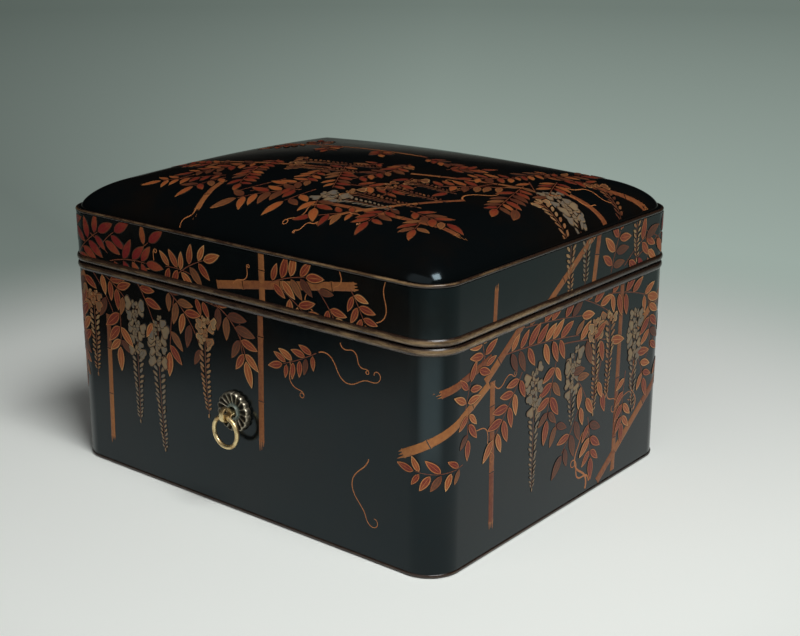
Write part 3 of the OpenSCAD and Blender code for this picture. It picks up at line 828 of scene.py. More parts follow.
def make_eye(side, form):
    """A strap bent round into an eye; its legs go through the wall and are bent apart inside."""
    thick = form.strap_t / MM
    leg_y = form.leg_slit / MM / 2 + thick / 2
    tail_z = -(TAIL_Y - thick / 2)
    middle_r = EYE_R - thick / 2
    leg = [(-TAIL_L, tail_z), *[(-leg_y - y, tail_z + z) for y, z in LEG_BEND],
           (-leg_y, RING_OUT - LOOP_FOOT * middle_r)]
    loop = []
    for i in range(LOOP_STEPS + 1):
        a = LOOP_TURN * (2 * i / LOOP_STEPS - 1)
        middle = math.copysign(form.eye_tall / MM / 2, a)
        loop.append((middle + middle_r * math.sin(a), RING_OUT + middle_r * math.cos(a)))
    path = leg + loop + [(-y, z) for y, z in reversed(leg)]
    section = []
    for k in range(4):
        sx = 1 if k in (0, 3) else -1
        sy = 1 if k in (0, 1) else -1
        for i in range(5):
            a = math.pi / 2 * (k + i / 4)
            section.append((sx * (STRAP_W / 2 - STRAP_EDGE) + STRAP_EDGE * math.cos(a),
                            sy * (thick / 2 - STRAP_EDGE) + STRAP_EDGE * math.sin(a)))
    rings = []
    for (y, z), (ny, nz) in zip(path, normals(path)):
        waist = 1 - EYE_WAIST * share_between(z, COLLAR_TOP, RING_OUT)
        rings.append([(sx * waist, y + ny * sy, z + nz * sy) for sx, sy in section])
    make_piece(f"shown_{side}_eye", on_wall(side, loft(rings, capped=True)), ["gilt_brass"], "case",
               [f"{side}_eye"])


def make_ring(side):
    """A ring of hand-drawn wire, a little uneven in thickness."""
    rings = []
    for i in range(RING_STEPS):
        a = 2 * math.pi * i / RING_STEPS
        wire = WIRE_R * (0.975 + 0.015 * math.sin(3 * a + 0.6) + 0.01 * math.sin(7 * a))
        ring = []
        for j in range(WIRE_STEPS):
            b = 2 * math.pi * j / WIRE_STEPS
            r = RING_R + wire * math.cos(b)
            ring.append((r * math.cos(a), r * math.sin(a) - RING_R - RING_DROP,
                         RING_OUT + wire * math.sin(b)))
        rings.append(ring)
    make_piece(f"shown_{side}_ring", on_wall(side, loft(rings[::-1], closed=True)), ["gilt_brass"],
               f"{side}_cord_ring", [f"{side}_ring"])


class COSMETICBOX_OT_fittings(bpy.types.Operator):
    """Make the rosettes, collars, eyes and rings, and finish the plates inside"""

    bl_idname = "cosmetic_box.fittings"
    bl_label = "Ring fittings"

    def execute(self, context):
        form = context.scene.fitting_form
        for side in ("front", "rear"):
            make_rosette(side, form)
            make_collar(side, form)
            make_eye(side, form)
            make_ring(side)
            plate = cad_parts[f"{side}_clinch_plate"]
            plate.data.materials.clear()
            plate.data.materials.append(finish("dark_bronze"))
        return {"FINISHED"}


# Raised sprays

# Numbers of the sprays' finishes, in the order of the powders
EDGING, LINE, LEAF, CRIMSON, WORN, POLE, PEWTER, PALE = range(8)
# Foot of the raised work in the lacquer, width of its sides and of the black gap around it, number
# of heights, and distance kept between leaflets, in millimetres
SUNK = -0.05
SKIRT = 0.12
GAP = 0.42
LAYERS = 9
ROOM = 5.3
# How far a form's foot spreads, its gap and rim lie below its face and its rib above, in millimetres
SPREAD, GAP_DROP, RIM_DROP, RIB_RISE = 0.05, 0.02, 0.01, 0.03
# Rim, rib and gap of a leaflet as shares of its width, its greatest bend as a share of its length,
# and the shares of amber leaflets
RIM_SHARE, RIB_SHARE, GAP_SHARE = 0.115, 0.065, 0.12
LEAF_BEND = 0.09
AMBER_SHARE, AMBER_CRIMSON = 0.28, 0.12
# Steps between the pairs along a frond, in leaflets' widths, and along a raceme, in millimetres
PAIR_STEP = 1.35
FLOWER_STEP, BUD_STEP = 5.4, 3.9
# Where a raceme's buds end, and its steps
RACEME_END, RACEME_STEPS = 0.97, 14
# Gap at a pole's joints, length of the swelling there, and its width as a share
JOINT, SWELL, SWELL_SHARE = 0.3, 1.3, 1.16

# Sections of raised lines, as (side, skirt, height) shares from one foot to the other
LINE_SECTION = ((-1, 1, 0), (-0.6, 0, 1), (0.6, 0, 1), (1, 1, 0))
POLE_SECTION = ((-1, 1, 0), (-1, 0, 0.5), (-0.45, 0, 1), (0.45, 0, 1), (1, 0, 0.5), (1, 1, 0))


class Sprays:
    """Raised work drawn flat in millimetres: u across the face, v up and h out of the lacquer.

    The rim is the finish of the leaflets' edges, and worn the share of leaflets that are rubbed thin.
    Headings are in degrees from the u axis.
    """

    def __init__(self, form, seed, rim, worn):
        self.form = form
        self.rim = rim
        self.worn = worn
        self.draw = random.Random(seed)
        self.shift = 0.0
        self.layer = 0
        self.taken = {}
        self.points = []
        self.faces = []
        self.numbers = []
        self.tones = []

    def height(self, layered=True):
        """Height of the next element, so that one lies clear of those drawn before it."""
        if not layered:
            return self.form.raised / MM * self.draw.uniform(0.8, 1.0)
        self.layer = (self.layer + 1) % LAYERS
        return (self.form.raised + self.layer * self.form.layer) / MM

    def clear(self, spots, room=ROOM):
        """Whether earlier flowers and leaflets leave these spots free; if so, they are taken."""
        cells = [(round((u + self.shift) / ROOM), round(v / ROOM)) for u, v in spots]
        for (i, j), (u, v) in zip(cells, spots):
            for di in (-1, 0, 1):
                for dj in (-1, 0, 1):
                    for other in self.taken.get((i + di, j + dj), ()):
                        if math.dist((u + self.shift, v), other) < room:
                            return False
        for cell, (u, v) in zip(cells, spots):
            self.taken.setdefault(cell, []).append((u + self.shift, v))
        return True

    def keep(self, rows, tones):
        """Adds rows of points with their tones and returns the number of the first."""
        first = len(self.points)
        for row in rows:
            self.points.extend((u + self.shift, v, h) for u, v, h in row)
            self.tones.extend(tones)
        return first

    def add_face(self, corners, number):
        """Adds one face."""
        self.faces.append(tuple(corners))
        self.numbers.append(number)

    def plate(self, rings, numbers, tones):
        """A closed raised form over rings that go from its foot inwards."""
        count = len(rings[0])
        first = self.keep(rings, tones)
        for i, number in enumerate(numbers[:-1]):
            low = first + i * count
            for j in range(count):
                k = (j + 1) % count
                self.add_face((low + j, low + k, low + count + k, low + count + j), number)
        top = first + (len(rings) - 1) * count
        self.add_face(range(top, top + count), numbers[-1])
        self.add_face(reversed(range(first, first + count)), EDGING)

    def bar(self, path, widths, section, number, tone):
        """A raised line with a section along a path."""
        height = self.height(False)
        rows = []
        for (u, v), (nu, nv), wide in zip(path, normals(path), widths):
            row = []
            for side, skirt, share in section:
                across = side * wide / 2 + math.copysign(SKIRT * skirt, side)
                row.append((u + nu * across, v + nv * across, SUNK + (height - SUNK) * share))
            rows.append(row)
        count = len(section)
        first = self.keep(rows, [tone] * count)
        for i in range(len(path) - 1):
            low = first + i * count
            for j in range(count):
                k = (j + 1) % count
                foot = section is POLE_SECTION and j in (0, count - 2, count - 1)
                self.add_face((low + j, low + count + j, low + count + k, low + k),
                              EDGING if foot else number)
        last = first + (len(path) - 1) * count
        self.add_face(range(first, first + count), number)
        self.add_face(reversed(range(last, last + count)), number)

    def line(self, path, start_w, end_w, number, tone):
        """A raised line that tapers from one width to the other."""
        steps = len(path) - 1
        widths = [start_w + (end_w - start_w) * i / steps for i in range(steps + 1)]
        self.bar(path, widths, LINE_SECTION, number, tone)

    def leaflet(self, u, v, heading, long, wide, number, rim, round_power=0.85, full=0.8):
        """A leaflet with a light rim and midrib; the powers give the roundness of its outline."""
        bend = self.draw.uniform(-LEAF_BEND, LEAF_BEND)
        tone = self.draw.random() ** 1.3
        if number in (LEAF, CRIMSON, WORN):
            amber = self.draw.random() < (AMBER_CRIMSON if number == CRIMSON else AMBER_SHARE)
            tone = 0.6 + 0.3 * tone if amber else 0.3 * tone
        height = self.height()
        rim_w = min(self.form.line_w / MM, RIM_SHARE * wide)
        gap = min(GAP, GAP_SHARE * wide)
        cos, sin = cos_sin(heading)
        steps = 8 if long > 9 else 5
        shares = [i / steps for i in range(1, steps)]

        def ring(inset, h, slim=1.0):
            t0 = max(0.0, inset) * 0.8 / long
            t1 = 1 - max(0.0, inset) * 1.8 / long
            right = []
            for share in shares:
                t = t0 + (t1 - t0) * share
                half = wide / 2 * math.sin(math.pi * t ** full) ** round_power - inset
                right.append((t, max(0.05, half * slim)))
            left = [(t, -half) for t, half in right]
            out = []
            for t, across in [(t0, 0.0), *left, (t1, 0.0), *reversed(right)]:
                x = t * long
                y = across + bend * long * t * t
                out.append((u + x * cos - y * sin, v + x * sin + y * cos, h))
            return out

        rings = [ring(-gap - SPREAD, SUNK), ring(-gap, height - GAP_DROP),
                 ring(0.0, height - RIM_DROP), ring(rim_w, height),
                 ring(rim_w, height + RIB_RISE, RIB_SHARE)]
        run = [0.0, *shares, 1.0, *reversed(shares)]
        self.plate(rings, [EDGING, EDGING, rim, number, rim], [tone + 0.3 * (t - 0.5) for t in run])

    def frond(self, u, v, heading, long, droop, scale, number):
        """Leaflets in pairs along a stalk that bends towards the ground, with one at the end."""
        leaf_l = self.form.leaf_l / MM * scale
        leaf_w = self.form.leaf_w / MM * scale
        pairs = max(2, round(long / (PAIR_STEP * leaf_w)))
        steps = pairs * 2
        path = [(u, v)]
        angle = heading
        for _ in range(steps):
            angle += droop / steps * (1 if cos_sin(heading)[0] < 0 else -1)
            cos, sin = cos_sin(angle)
            u += long / steps * cos
            v += long / steps * sin
            path.append((u, v))
        self.line(path, 0.7 * scale, 0.4 * scale, POLE, 0.1)
        places = [(*path[-1], angle, 1.0)]
        for i in range(pairs):
            at = path[2 * i + 1]
            ahead = path[2 * i + 2]
            along = math.atan2(ahead[1] - at[1], ahead[0] - at[0])
            size = 0.74 + 0.26 * math.sin(math.pi * (i + 0.7) / (pairs + 0.4))
            for side in (-1, 1):
                turn = along + side * math.radians(self.draw.uniform(50, 64))
                hang = math.degrees(math.atan2(math.sin(turn) - 0.22, math.cos(turn)))
                places.append((*at, hang, size * self.draw.uniform(0.86, 1.06)))
        for x, y, way, size in places:
            cos, sin = cos_sin(way)
            reach = leaf_l * size
            spots = [(x + cos * reach * share, y + sin * reach * share) for share in (0.42, 0.8)]
            if self.clear(spots, ROOM * scale):
                kind = WORN if number == LEAF and self.draw.random() < self.worn else number
                self.leaflet(x + cos * 0.9, y + sin * 0.9, way, reach, leaf_w * size, kind,
                             self.rim if kind == LEAF else POLE)

    def fan(self, u, v, heading, size, number, rim):
        """A petal that widens from its foot to a notched edge."""
        height = self.height()
        tone = self.draw.random()
        spread = math.radians(self.draw.uniform(38, 56))
        notch = self.draw.uniform(0.1, 0.28)
        turns = [i / 5 - 1 for i in range(11)]
        cos, sin = cos_sin(heading)

        def ring(inset, h):
            wide = spread - inset / (0.7 * size)
            out = [(u + inset * cos, v + inset * sin, h)]
            for turn in turns:
                a = math.radians(heading) + wide * turn
                reach = size * (1 - notch * math.exp(-(turn / 0.24) ** 2) - 0.2 * turn ** 4) - inset
                out.append((u + reach * math.cos(a), v + reach * math.sin(a), h))
            return out

        rings = [ring(-GAP - SPREAD, SUNK), ring(-GAP, height - GAP_DROP),
                 ring(0.0, height - RIM_DROP), ring(0.5, height)]
        tones = [tone - 0.4, *[tone + 0.2 - 0.3 * abs(turn) for turn in turns]]
        self.plate(rings, [EDGING, EDGING, rim, number], tones)

    def flower(self, u, v, heading, size, number):
        """A pea flower: a notched banner, two small wings and a keel opposite."""
        rim = PALE if number == PEWTER else LINE
        for turn, share in ((180, 0.55), (128, 0.5), (-128, 0.5)):
            self.leaflet(u, v, heading + turn + self.draw.uniform(-14, 14), size * share,
                         size * share * 0.62, number, rim, 0.6, 1.2)
        self.fan(u, v, heading, size * self.draw.uniform(0.85, 1.12), number, rim)

    def raceme(self, u, v, long, heading, open_share, number):
        """A hanging string: open flowers above, then buds in pairs that shrink to the tip."""
        cos, sin = cos_sin(heading)
        sway = self.draw.uniform(-2.0, 2.0)
        rim = {PEWTER: PALE, PALE: LINE, WORN: POLE}[number]

        def at(t, side=0.0):
            off = sway * math.sin(math.pi * t) + side
            return u + long * t * cos - off * sin, v + long * t * sin + off * cos

        self.line([at(i / RACEME_STEPS) for i in range(RACEME_STEPS + 1)], 0.9, 0.4, WORN, 0.3)
        petal = self.form.petal_l / MM
        t = 0.0
        while t < open_share:
            spread = petal * (0.5 - 0.26 * t / open_share)
            for side in (-1, 1):
                x, y = at(t + self.draw.uniform(-2, 2) / long,
                          side * spread * self.draw.uniform(0.6, 1.25))
                self.clear([(x, y)])
                self.flower(x, y, heading + side * self.draw.uniform(30, 120),
                            petal * self.draw.uniform(0.8, 1.18), number)
            t += FLOWER_STEP / long
        bud = self.form.bud_l / MM
        while t < RACEME_END:
            small = 1 - 0.5 * (t - open_share) / (1 - open_share)
            self.clear([at(t)])
            apart = 0.3 + 2.4 * (small - 0.5)
            for side in (-1, 1):
                x, y = at(t, side * apart * self.draw.uniform(0.8, 1.2))
                self.leaflet(x, y, heading + side * self.draw.uniform(126, 142),
                             bud * small * self.draw.uniform(0.85, 1.1), bud * 0.35 * small, number,
                             rim, 0.7, 1.1)
            t += BUD_STEP * small ** 0.7 / long
        x, y = at(RACEME_END)
        self.leaflet(x, y, heading, bud * 0.5, bud * 0.22, number, rim, 0.6)

    def pole(self, u0, v0, u1, v1, scale, ragged):
        """A bamboo pole: lengths that swell at their joints and, where told, a splintered end."""
        wide = self.form.pole_w / MM * scale
        long = math.hypot(u1 - u0, v1 - v0)
        cos, sin = (u1 - u0) / long, (v1 - v0) / long
        tone = self.draw.uniform(0.3, 0.65)
        start = 0.0
        end = self.draw.uniform(14, 26)
        while long - start > 3:
            end = long if long - end < 5 else end
            plain = end - start - 2 * SWELL
            count = max(2, round(plain / 1.5))
            inner = [start + SWELL + plain * i / count for i in range(count + 1)]
            stations = [start + JOINT, *inner, end - JOINT]
            widths = [wide * SWELL_SHARE, *[wide] * len(inner), wide * SWELL_SHARE]
            path = [(u0 + x * cos, v0 + x * sin) for x in stations]
            self.bar(path, widths, POLE_SECTION, POLE, tone + self.draw.uniform(-0.3, 0.3))
            start = end
            end += self.draw.uniform(30, 42)
        for splintered, (u, v, way) in zip(ragged, ((u0, v0, -1), (u1, v1, 1))):
            if not splintered:
                continue
            for side in (-0.34, 0.0, 0.34):
                reach = self.draw.uniform(2.5, 7.0)
                a = (u - sin * wide * side - way * cos * 0.8, v + cos * wide * side - way * sin * 0.8)
                b = (a[0] + way * cos * reach, a[1] + way * sin * reach)
                self.line([a, b], wide * 0.32, 0.15, POLE, 0.7)

    def tendril(self, u, v, heading, long, curl, wide):
        """A thin shoot that winds to and fro and ends in a curl."""
        path = [(u, v)]
        steps = max(24, int(long / 1.1))
        wave = self.draw.uniform(0, 6)
        bends = self.draw.uniform(7, 12)
        for i in range(steps):
            t = i / steps
            swing = 46 * (math.sin(wave + bends * t) - math.sin(wave))
            cos, sin = cos_sin(heading + swing + curl * 340 * max(0.0, t / 0.3 - 7 / 3) ** 1.4)
            u += long / steps * cos
            v += long / steps * sin
            path.append((u, v))
        self.line(path, 0.8 * wide, 0.34, LINE, 0.1)


# Where the sprays grow, in millimetres. On the walls u runs from the middle of the front to the
# right and around the box, and v is the height. On the crown u runs to the rear and v to the left.
# Poles: u0, v0, u1, v1, scale of width, splintered at the start, splintered at the end
CASE_POLES = (
    (-170, 111, -120, 114, 1.0, 0, 0), (-113, 104, -116, 19, 0.8, 0, 1),
    (23, 131, 21, 51, 0.85, 0, 1), (193, 105, 194, 19, 0.9, 0, 1),
    (150, 108, 192, 119, 0.9, 1, 0), (186, 106, 222, 131, 1.0, 0, 0),
    (128, 72, 190, 104, 1.0, 1, 0), (331, 131, 329, 5, 0.9, 0, 0),
    (310, 4, 392, 62, 1.1, 0, 0), (352, 96, 402, 128, 1.0, 0, 0),
)
# Fronds: u, v, heading, stalk length, droop, scale
CASE_FRONDS = (
    (-152, 128, -105, 46, -20, 1.0), (-136, 131, -72, 46, 20, 1.0), (-120, 132, -20, 30, 20, 0.9),
    (-102, 129, -85, 44, 10, 1.0), (-58, 132, -28, 50, 40, 1.0), (-142, 112, -95, 34, 10, 0.95),
    (-50, 127, -105, 36, 10, 1.0), (-16, 130, -15, 42, 62, 1.0), (6, 124, -95, 30, 20, 0.95),
    (-34, 131, -8, 24, 0, 0.8), (66, 116, -150, 28, -10, 0.72), (168, 95, 80, 15, 10, 0.75),
    (171, 95, -98, 17, 10, 0.75), (-84, 131, -50, 32, 20, 0.95), (186, 112, 95, 20, 10, 0.8),
    (-126, 130, -42, 30, 20, 0.95), (-158, 118, -70, 30, 10, 0.95),
    (172, 110, 40, 18, 0, 0.75), (206, 117, -2, 76, 8, 1.0), (262, 108, -6, 58, 10, 1.0),
    (224, 128, -4, 60, 6, 0.9), (222, 102, -125, 42, -10, 0.9), (258, 100, -110, 36, 10, 0.95),
    (288, 66, -120, 36, -10, 1.0), (296, 52, -75, 28, 10, 0.95), (314, 127, -6, 50, 14, 1.0),
    (250, 78, -60, 26, 10, 0.9), (272, 88, -30, 30, 30, 0.95), (312, 92, -115, 32, 10, 0.95),
    (286, 130, -20, 32, 10, 0.9), (340, 70, -100, 34, 10, 0.9),
    (298, 92, -60, 30, 10, 0.9), (344, 88, -40, 34, 30, 0.9), (362, 122, -75, 44, 10, 0.95),
    (388, 108, -100, 44, 10, 1.0), (374, 84, -130, 30, 10, 0.9), (166, 64, 194, 30, -24, 0.7),
)
# Racemes: u, v, length, heading, share of open flowers, finish
CASE_RACEMES = (
    (-127, 116, 56, -90, 0.1, PALE), (-86, 114, 78, -91, 0.4, PEWTER),
    (-66, 108, 86, -89, 0.36, PEWTER), (-23, 118, 62, -90, 0.2, PALE),
    (235, 98, 74, -90, 0.34, PEWTER), (278, 98, 44, -92, 0.5, PEWTER),
    (301, 110, 58, -90, 0.12, PALE), (317, 112, 52, -91, 0.1, PALE),
    (350, 108, 68, -90, 0.4, PEWTER),
)
# Tendrils: u, v, heading, length, curl, width
CASE_TENDRILS = (
    (-138, 128, -100, 36, 1, 0.8), (38, 112, -10, 44, -1, 0.7), (68, 117, 20, 62, 1, 0.8),
    (84, 126, -70, 34, -1, 0.7), (104, 62, -110, 60, 1, 0.8), (172, 86, -80, 50, -1, 0.8),
    (192, 104, -30, 34, 1, 0.8), (330, 30, 40, 46, -1, 1.2), (300, 8, 100, 44, 1, 1.8),
    (296, 4, 70, 60, -1, 2.2), (352, 40, 50, 50, 1, 1.2), (318, 70, -70, 40, -1, 1.0),
)
LID_POLES = (
    (-12, 142, 95, 160, 1.0, 0, 1), (25, 138, 25, 168, 0.9, 0, 0), (194, 138, 195, 157, 0.7, 0, 1),
    (247, 137, 298, 170, 0.9, 0, 0), (296, 137, 301, 170, 0.9, 0, 0),
)
LID_FRONDS = (
    (-186, 142, 30, 40, 10, 1.0), (-160, 138, 60, 30, 20, 1.0), (-142, 138, 50, 30, 20, 1.0),
    (-124, 138, 62, 30, 30, 1.0), (-108, 140, 18, 34, 20, 0.95), (-88, 136, 75, 28, 40, 0.95),
    (-132, 158, -20, 26, 20, 0.9),
    (-46, 142, 40, 26, 20, 0.9), (-34, 144, 165, 22, 20, 0.8), (30, 150, 28, 30, 20, 0.85),
    (38, 150, -28, 34, 10, 0.85), (66, 155, -40, 24, 20, 0.75), (92, 158, -55, 20, 10, 0.72),
    (316, 140, 75, 26, 10, 1.0), (332, 141, 40, 28, 20, 1.0), (352, 166, -60, 26, 20, 0.9),
    (376, 150, 150, 24, 10, 0.9),
)
LID_RACEMES = (
    (270, 176, 44, -90, 0.05, PALE), (286, 176, 38, -90, 0.1, PEWTER), (346, 176, 34, -90, 0.1, PALE),
)
LID_TENDRILS = (
    (2, 145, 60, 26, -1, 0.8), (60, 154, -70, 24, -1, 0.8), (80, 157, 20, 26, 1, 0.7),
    (104, 141, 20, 44, 1, 0.8), (-78, 140, 20, 30, -1, 0.8),
)
CROWN_POLES = (
    (-84, -34, -78, -128, 0.8, 0, 1), (-106, -50, -30, -98, 0.6, 0, 0), (-78, 51, -112, 40, 0.8, 0, 1),
    (44, 116, 42, -14, 0.6, 0, 0), (-42, 126, -26, 10, 0.6, 0, 0), (38, -126, 46, -152, 0.9, 0, 0),
    (66, -124, 94, -148, 0.9, 0, 1), (-8, -40, 22, -108, 0.6, 0, 0),
)
CROWN_FRONDS = (
    (-34, 64, 142, 42, 10, 0.78), (-68, 60, 122, 40, 10, 0.78), (-72, 56, 158, 22, 10, 0.8),
    (-46, 54, -158, 38, 10, 0.78), (-56, 80, 172, 30, 0, 0.72), (-40, 84, 112, 30, 0, 0.72),
    (-22, 58, -172, 36, 0, 0.72), (-72, -8, 128, 38, 10, 0.95), (-68, -16, 172, 24, 0, 0.95),
    (-76, -26, -146, 20, 0, 0.9), (-54, -2, 148, 40, 0, 0.8), (-32, 10, -166, 42, 0, 0.72),
    (-18, 4, -148, 50, 0, 0.72), (-60, 16, 160, 32, 0, 0.85), (-12, -28, 164, 38, 0, 0.75),
    (12, -24, -172, 48, 0, 0.72), (-50, -28, -78, 22, 0, 0.75), (-16, -48, -166, 40, 0, 0.75),
    (-30, -62, 170, 34, 0, 0.75), (2, -10, 150, 36, 0, 0.7), (-68, -76, -174, 26, 0, 0.8),
    (-88, -66, 118, 26, 0, 0.7), (-68, -88, -98, 28, 0, 0.85), (-74, -102, -158, 18, 0, 0.75),
    (18, -48, -36, 22, 0, 0.7), (36, -88, 148, 28, 0, 0.75), (12, -98, 138, 42, 0, 0.8),
    (24, -102, -162, 54, 0, 0.8), (16, -106, -150, 38, 0, 0.85), (54, -96, -16, 40, 0, 0.75),
    (52, -108, -156, 40, 0, 0.8), (60, -104, -54, 20, 0, 0.75), (14, -88, 172, 40, 0, 0.75),
    (36, -98, -136, 34, 0, 0.85), (70, -92, 168, 34, 0, 0.72), (36, -18, -100, 28, 0, 0.7),
    (45, 96, 156, 24, 0, 0.7), (44, 70, -150, 24, 0, 0.7), (43, 26, -140, 20, 0, 0.7),
    (46, 84, 40, 18, 0, 0.7),
)
CROWN_RACEMES = (
    (-74, -26, 54, -88, 0.34, PEWTER), (-60, -38, 50, -90, 0.06, WORN),
    (-40, -48, 44, -92, 0.05, WORN), (-22, -52, 34, -94, 0.05, WORN),
    (-18, 44, 62, -82, 0.06, WORN), (-32, 34, 50, -84, 0.05, WORN),
    (26, -121, 44, -108, 0.6, PEWTER), (8, -125, 40, -104, 0.12, PALE),
    (72, -126, 30, -115, 0.05, WORN),
)
CROWN_TENDRILS = (
    (-104, -50, 160, 20, 1, 0.8), (-110, 42, -160, 24, -1, 0.8), (-30, -96, 40, 46, 0, 1.2),
    (24, -116, -90, 40, 0, 1.6), (46, -118, -80, 34, 0, 1.8), (-86, -40, 120, 40, 1, 0.8),
    (-20, -82, 20, 36, 1, 0.8), (-88, -60, -150, 26, -1, 0.7),
)


def grow(sprays, poles, fronds, racemes, tendrils, stray=0.0, crimson_to=-math.inf):
    """Draws one set of sprays; stray is how far its parts may lie from their places.

    Fronds that start before crimson_to are crimson.
    """
    for u0, v0, u1, v1, scale, start, end in poles:
        sprays.pole(u0, v0, u1, v1, scale, (start, end))
    for u, v, heading, long, curl, wide in tendrils:
        off = sprays.draw.uniform(-stray, stray)
        sprays.tendril(u + off, v, heading, long, curl, wide)
    for u, v, long, heading, open_share, number in racemes:
        off = sprays.draw.uniform(-stray, stray)
        sprays.raceme(u + off, v, long, heading, open_share, number)
    for u, v, heading, long, droop, scale in fronds:
        off = sprays.draw.uniform(-stray, stray)
        number = CRIMSON if u < crimson_to else LEAF
        sprays.frond(u + off, v, heading + off, long, droop, scale, number)


FRONT_RUN = 2 * (HALF_L - CORNER_R)
SIDE_RUN = 2 * (HALF_W - CORNER_R)
CORNER_RUN = math.pi / 2 * CORNER_R
AROUND = 2 * (FRONT_RUN + SIDE_RUN) + 4 * CORNER_RUN
# Shares of leaflets rubbed thin on the walls and on the crown, where the lid's crimson fronds end,
# and how far the sprays stray on the far sides, where they are drawn once more
WALL_WORN, CROWN_WORN = 0.16, 0.3
LID_CRIMSON_TO = -50
FAR_STRAY = 9.0
# What the crown's sprays add to the seed, the margin left at its edge, and the step for its slope
CROWN_SEED = 7
CROWN_MARGIN = 0.6
SLOPE_STEP = 0.05


def wall_point(u, v, h):
    """Point h outside the walls, u along them from the front's middle and v above the floor."""
    s = (u + FRONT_RUN / 2) % AROUND
    for k in range(4):
        run, half = (FRONT_RUN, HALF_W) if k % 2 == 0 else (SIDE_RUN, HALF_L)
        if s <= run + CORNER_RUN:
            break
        s -= run + CORNER_RUN
    if s <= run:
        x, y = s - run / 2, -half - h
    else:
        a = (s - run) / CORNER_R
        x = run / 2 + (CORNER_R + h) * math.sin(a)
        y = CORNER_R - half - (CORNER_R + h) * math.cos(a)
    return *turned(x, y, k), v


def make_sprays(name, sprays, surface, cuts, body):
    """Trims drawn work at its cuts and lays it on a surface of the box."""
    mesh = bmesh.new()
    tone = mesh.verts.layers.float.new("tone")
    made = []
    for point, value in zip(sprays.points, sprays.tones):
        vert = mesh.verts.new(point)
        vert[tone] = value
        made.append(vert)
    for corners, number in zip(sprays.faces, sprays.numbers):
        face = mesh.faces.new([made[i] for i in corners])
        face.material_index = number
    for place, way in cuts:
        everything = mesh.verts[:] + mesh.edges[:] + mesh.faces[:]
        bmesh.ops.bisect_plane(mesh, geom=everything, plane_co=place, plane_no=way, clear_outer=True)
    for vert in mesh.verts:
        vert.co = surface(*vert.co)
    mesh.verts.index_update()
    points = [v.co.copy() for v in mesh.verts]
    faces = [[v.index for v in f.verts] for f in mesh.faces]
    numbers = [f.material_index for f in mesh.faces]
    tones = [v[tone] for v in mesh.verts]
    mesh.free()
    make_piece(name, (points, faces, numbers), list(POWDERS), body,
               marks={"tone": tones})


class COSMETICBOX_OT_sprays(bpy.types.Operator):
    """Grow the raised sprays of flowers, leaves and bamboo on the walls and the crown"""

    bl_idname = "cosmetic_box.sprays"
    bl_label = "Raised sprays"

    def execute(self, context):
        sizes = context.scene.spray_form
        form = context.scene.box_form
        bands = (("case", FOOT_H, CASE_BEAD_Z, -math.inf,
                  (CASE_POLES, CASE_FRONDS, CASE_RACEMES, CASE_TENDRILS)),
                 ("lid", LID_BEAD_Z1, RIDGE_Z0, LID_CRIMSON_TO,
                  (LID_POLES, LID_FRONDS, LID_RACEMES, LID_TENDRILS)))
        for number, (body, low, high, crimson_to, places) in enumerate(bands):
            sprays = Sprays(sizes, sizes.seed + number, LINE, WALL_WORN)
            for turn, stray in ((0, 0.0), (1, FAR_STRAY)):
                sprays.shift = turn * AROUND / 2
                grow(sprays, *places, stray, crimson_to)
            cuts = (((0, low, 0), (0, -1, 0)), ((0, high, 0), (0, 1, 0)))
            make_sprays(f"raised_sprays_{body}", sprays, wall_point, cuts, body)
        half_x, half_y, ledge_z, rise = crown_foot(form)

        def crown_z(x, y):
            return ledge_z + crown_height(x, y, half_x, half_y, rise, form)

        def crown_point(u, v, h):
            x, y = -v, u
            step = SLOPE_STEP
            slope_x = (crown_z(x + step, y) - crown_z(x - step, y)) / (2 * step)
            slope_y = (crown_z(x, y + step) - crown_z(x, y - step)) / (2 * step)
            out = Vector((-slope_x, -slope_y, 1)).normalized() * h
            return x + out.x, y + out.y, crown_z(x, y) + out.z

        sprays = Sprays(sizes, sizes.seed + CROWN_SEED, POLE, CROWN_WORN)
        grow(sprays, CROWN_POLES, CROWN_FRONDS, CROWN_RACEMES, CROWN_TENDRILS)
        end_u, end_v = half_y - CROWN_MARGIN, half_x - CROWN_MARGIN
        cuts = (((end_u, 0, 0), (1, 0, 0)), ((-end_u, 0, 0), (-1, 0, 0)),
                ((0, end_v, 0), (0, 1, 0)), ((0, -end_v, 0), (0, -1, 0)))
        make_sprays("raised_sprays_crown", sprays, crown_point, cuts, "lid")
        return {"FINISHED"}


# Stage

# Places and distances of the stage are in metres
CAMERA_PLACE = (0.5677, -0.67105, 0.37043)
CAMERA_TARGET = (0.01524, 0.01232, 0.09289)
CAMERA_LENS = 63.0
FLOOR_RADIUS, FLOOR_SEGMENTS = 9.0, 96
FLOOR_DROP = 0.0002
# Soft lamps: name, azimuth from the front to the right, elevation, distance, side, watts
LAMPS = (("key", 66, 54, 1.6, 0.7, 22.5), ("fill", 2, 24, 2.8, 3.2, 17.0))
LAMP_TARGET = (0.0, 0.0, 0.1)
# Distances at which the lit paper gives way to the sweep, and at which the sweep is darkest
SWEEP_START, SWEEP_END, SWEEP_FAR = 0.27, 0.64, 3.4
# The way to the sweep's bright side, and how far along it least and full light lie, with the light
SWEEP_WAY = (0.78, 0.63, 0.0)
SWEEP_LEAST, SWEEP_FULL = (-0.5, 0.58), (0.05, 1.24)
# The shaded patch on the front left: its middle, its half sizes, its edge in them, and its depth
SHADE_PLACE = (-0.42, -0.46, 0.0)
SHADE_SIZE = (0.42, 0.28, 1.0)
SHADE_EDGE, SHADE = (1.08, 0.5), 0.93
# The glowing patch of painted light before the near corner: where its sector starts, its way, its
# reach, the cosines of its width, and its light
GLOW_PLACE, GLOW_WAY = (0.1455, -0.119, 0.0), (0.607, -0.794, 0.0)
GLOW_NEAR, GLOW_FAR, GLOW_WIDTH = (0.12, 0.18), (0.45, 0.36), (0.66, 1.0)
GLOW = 1.35
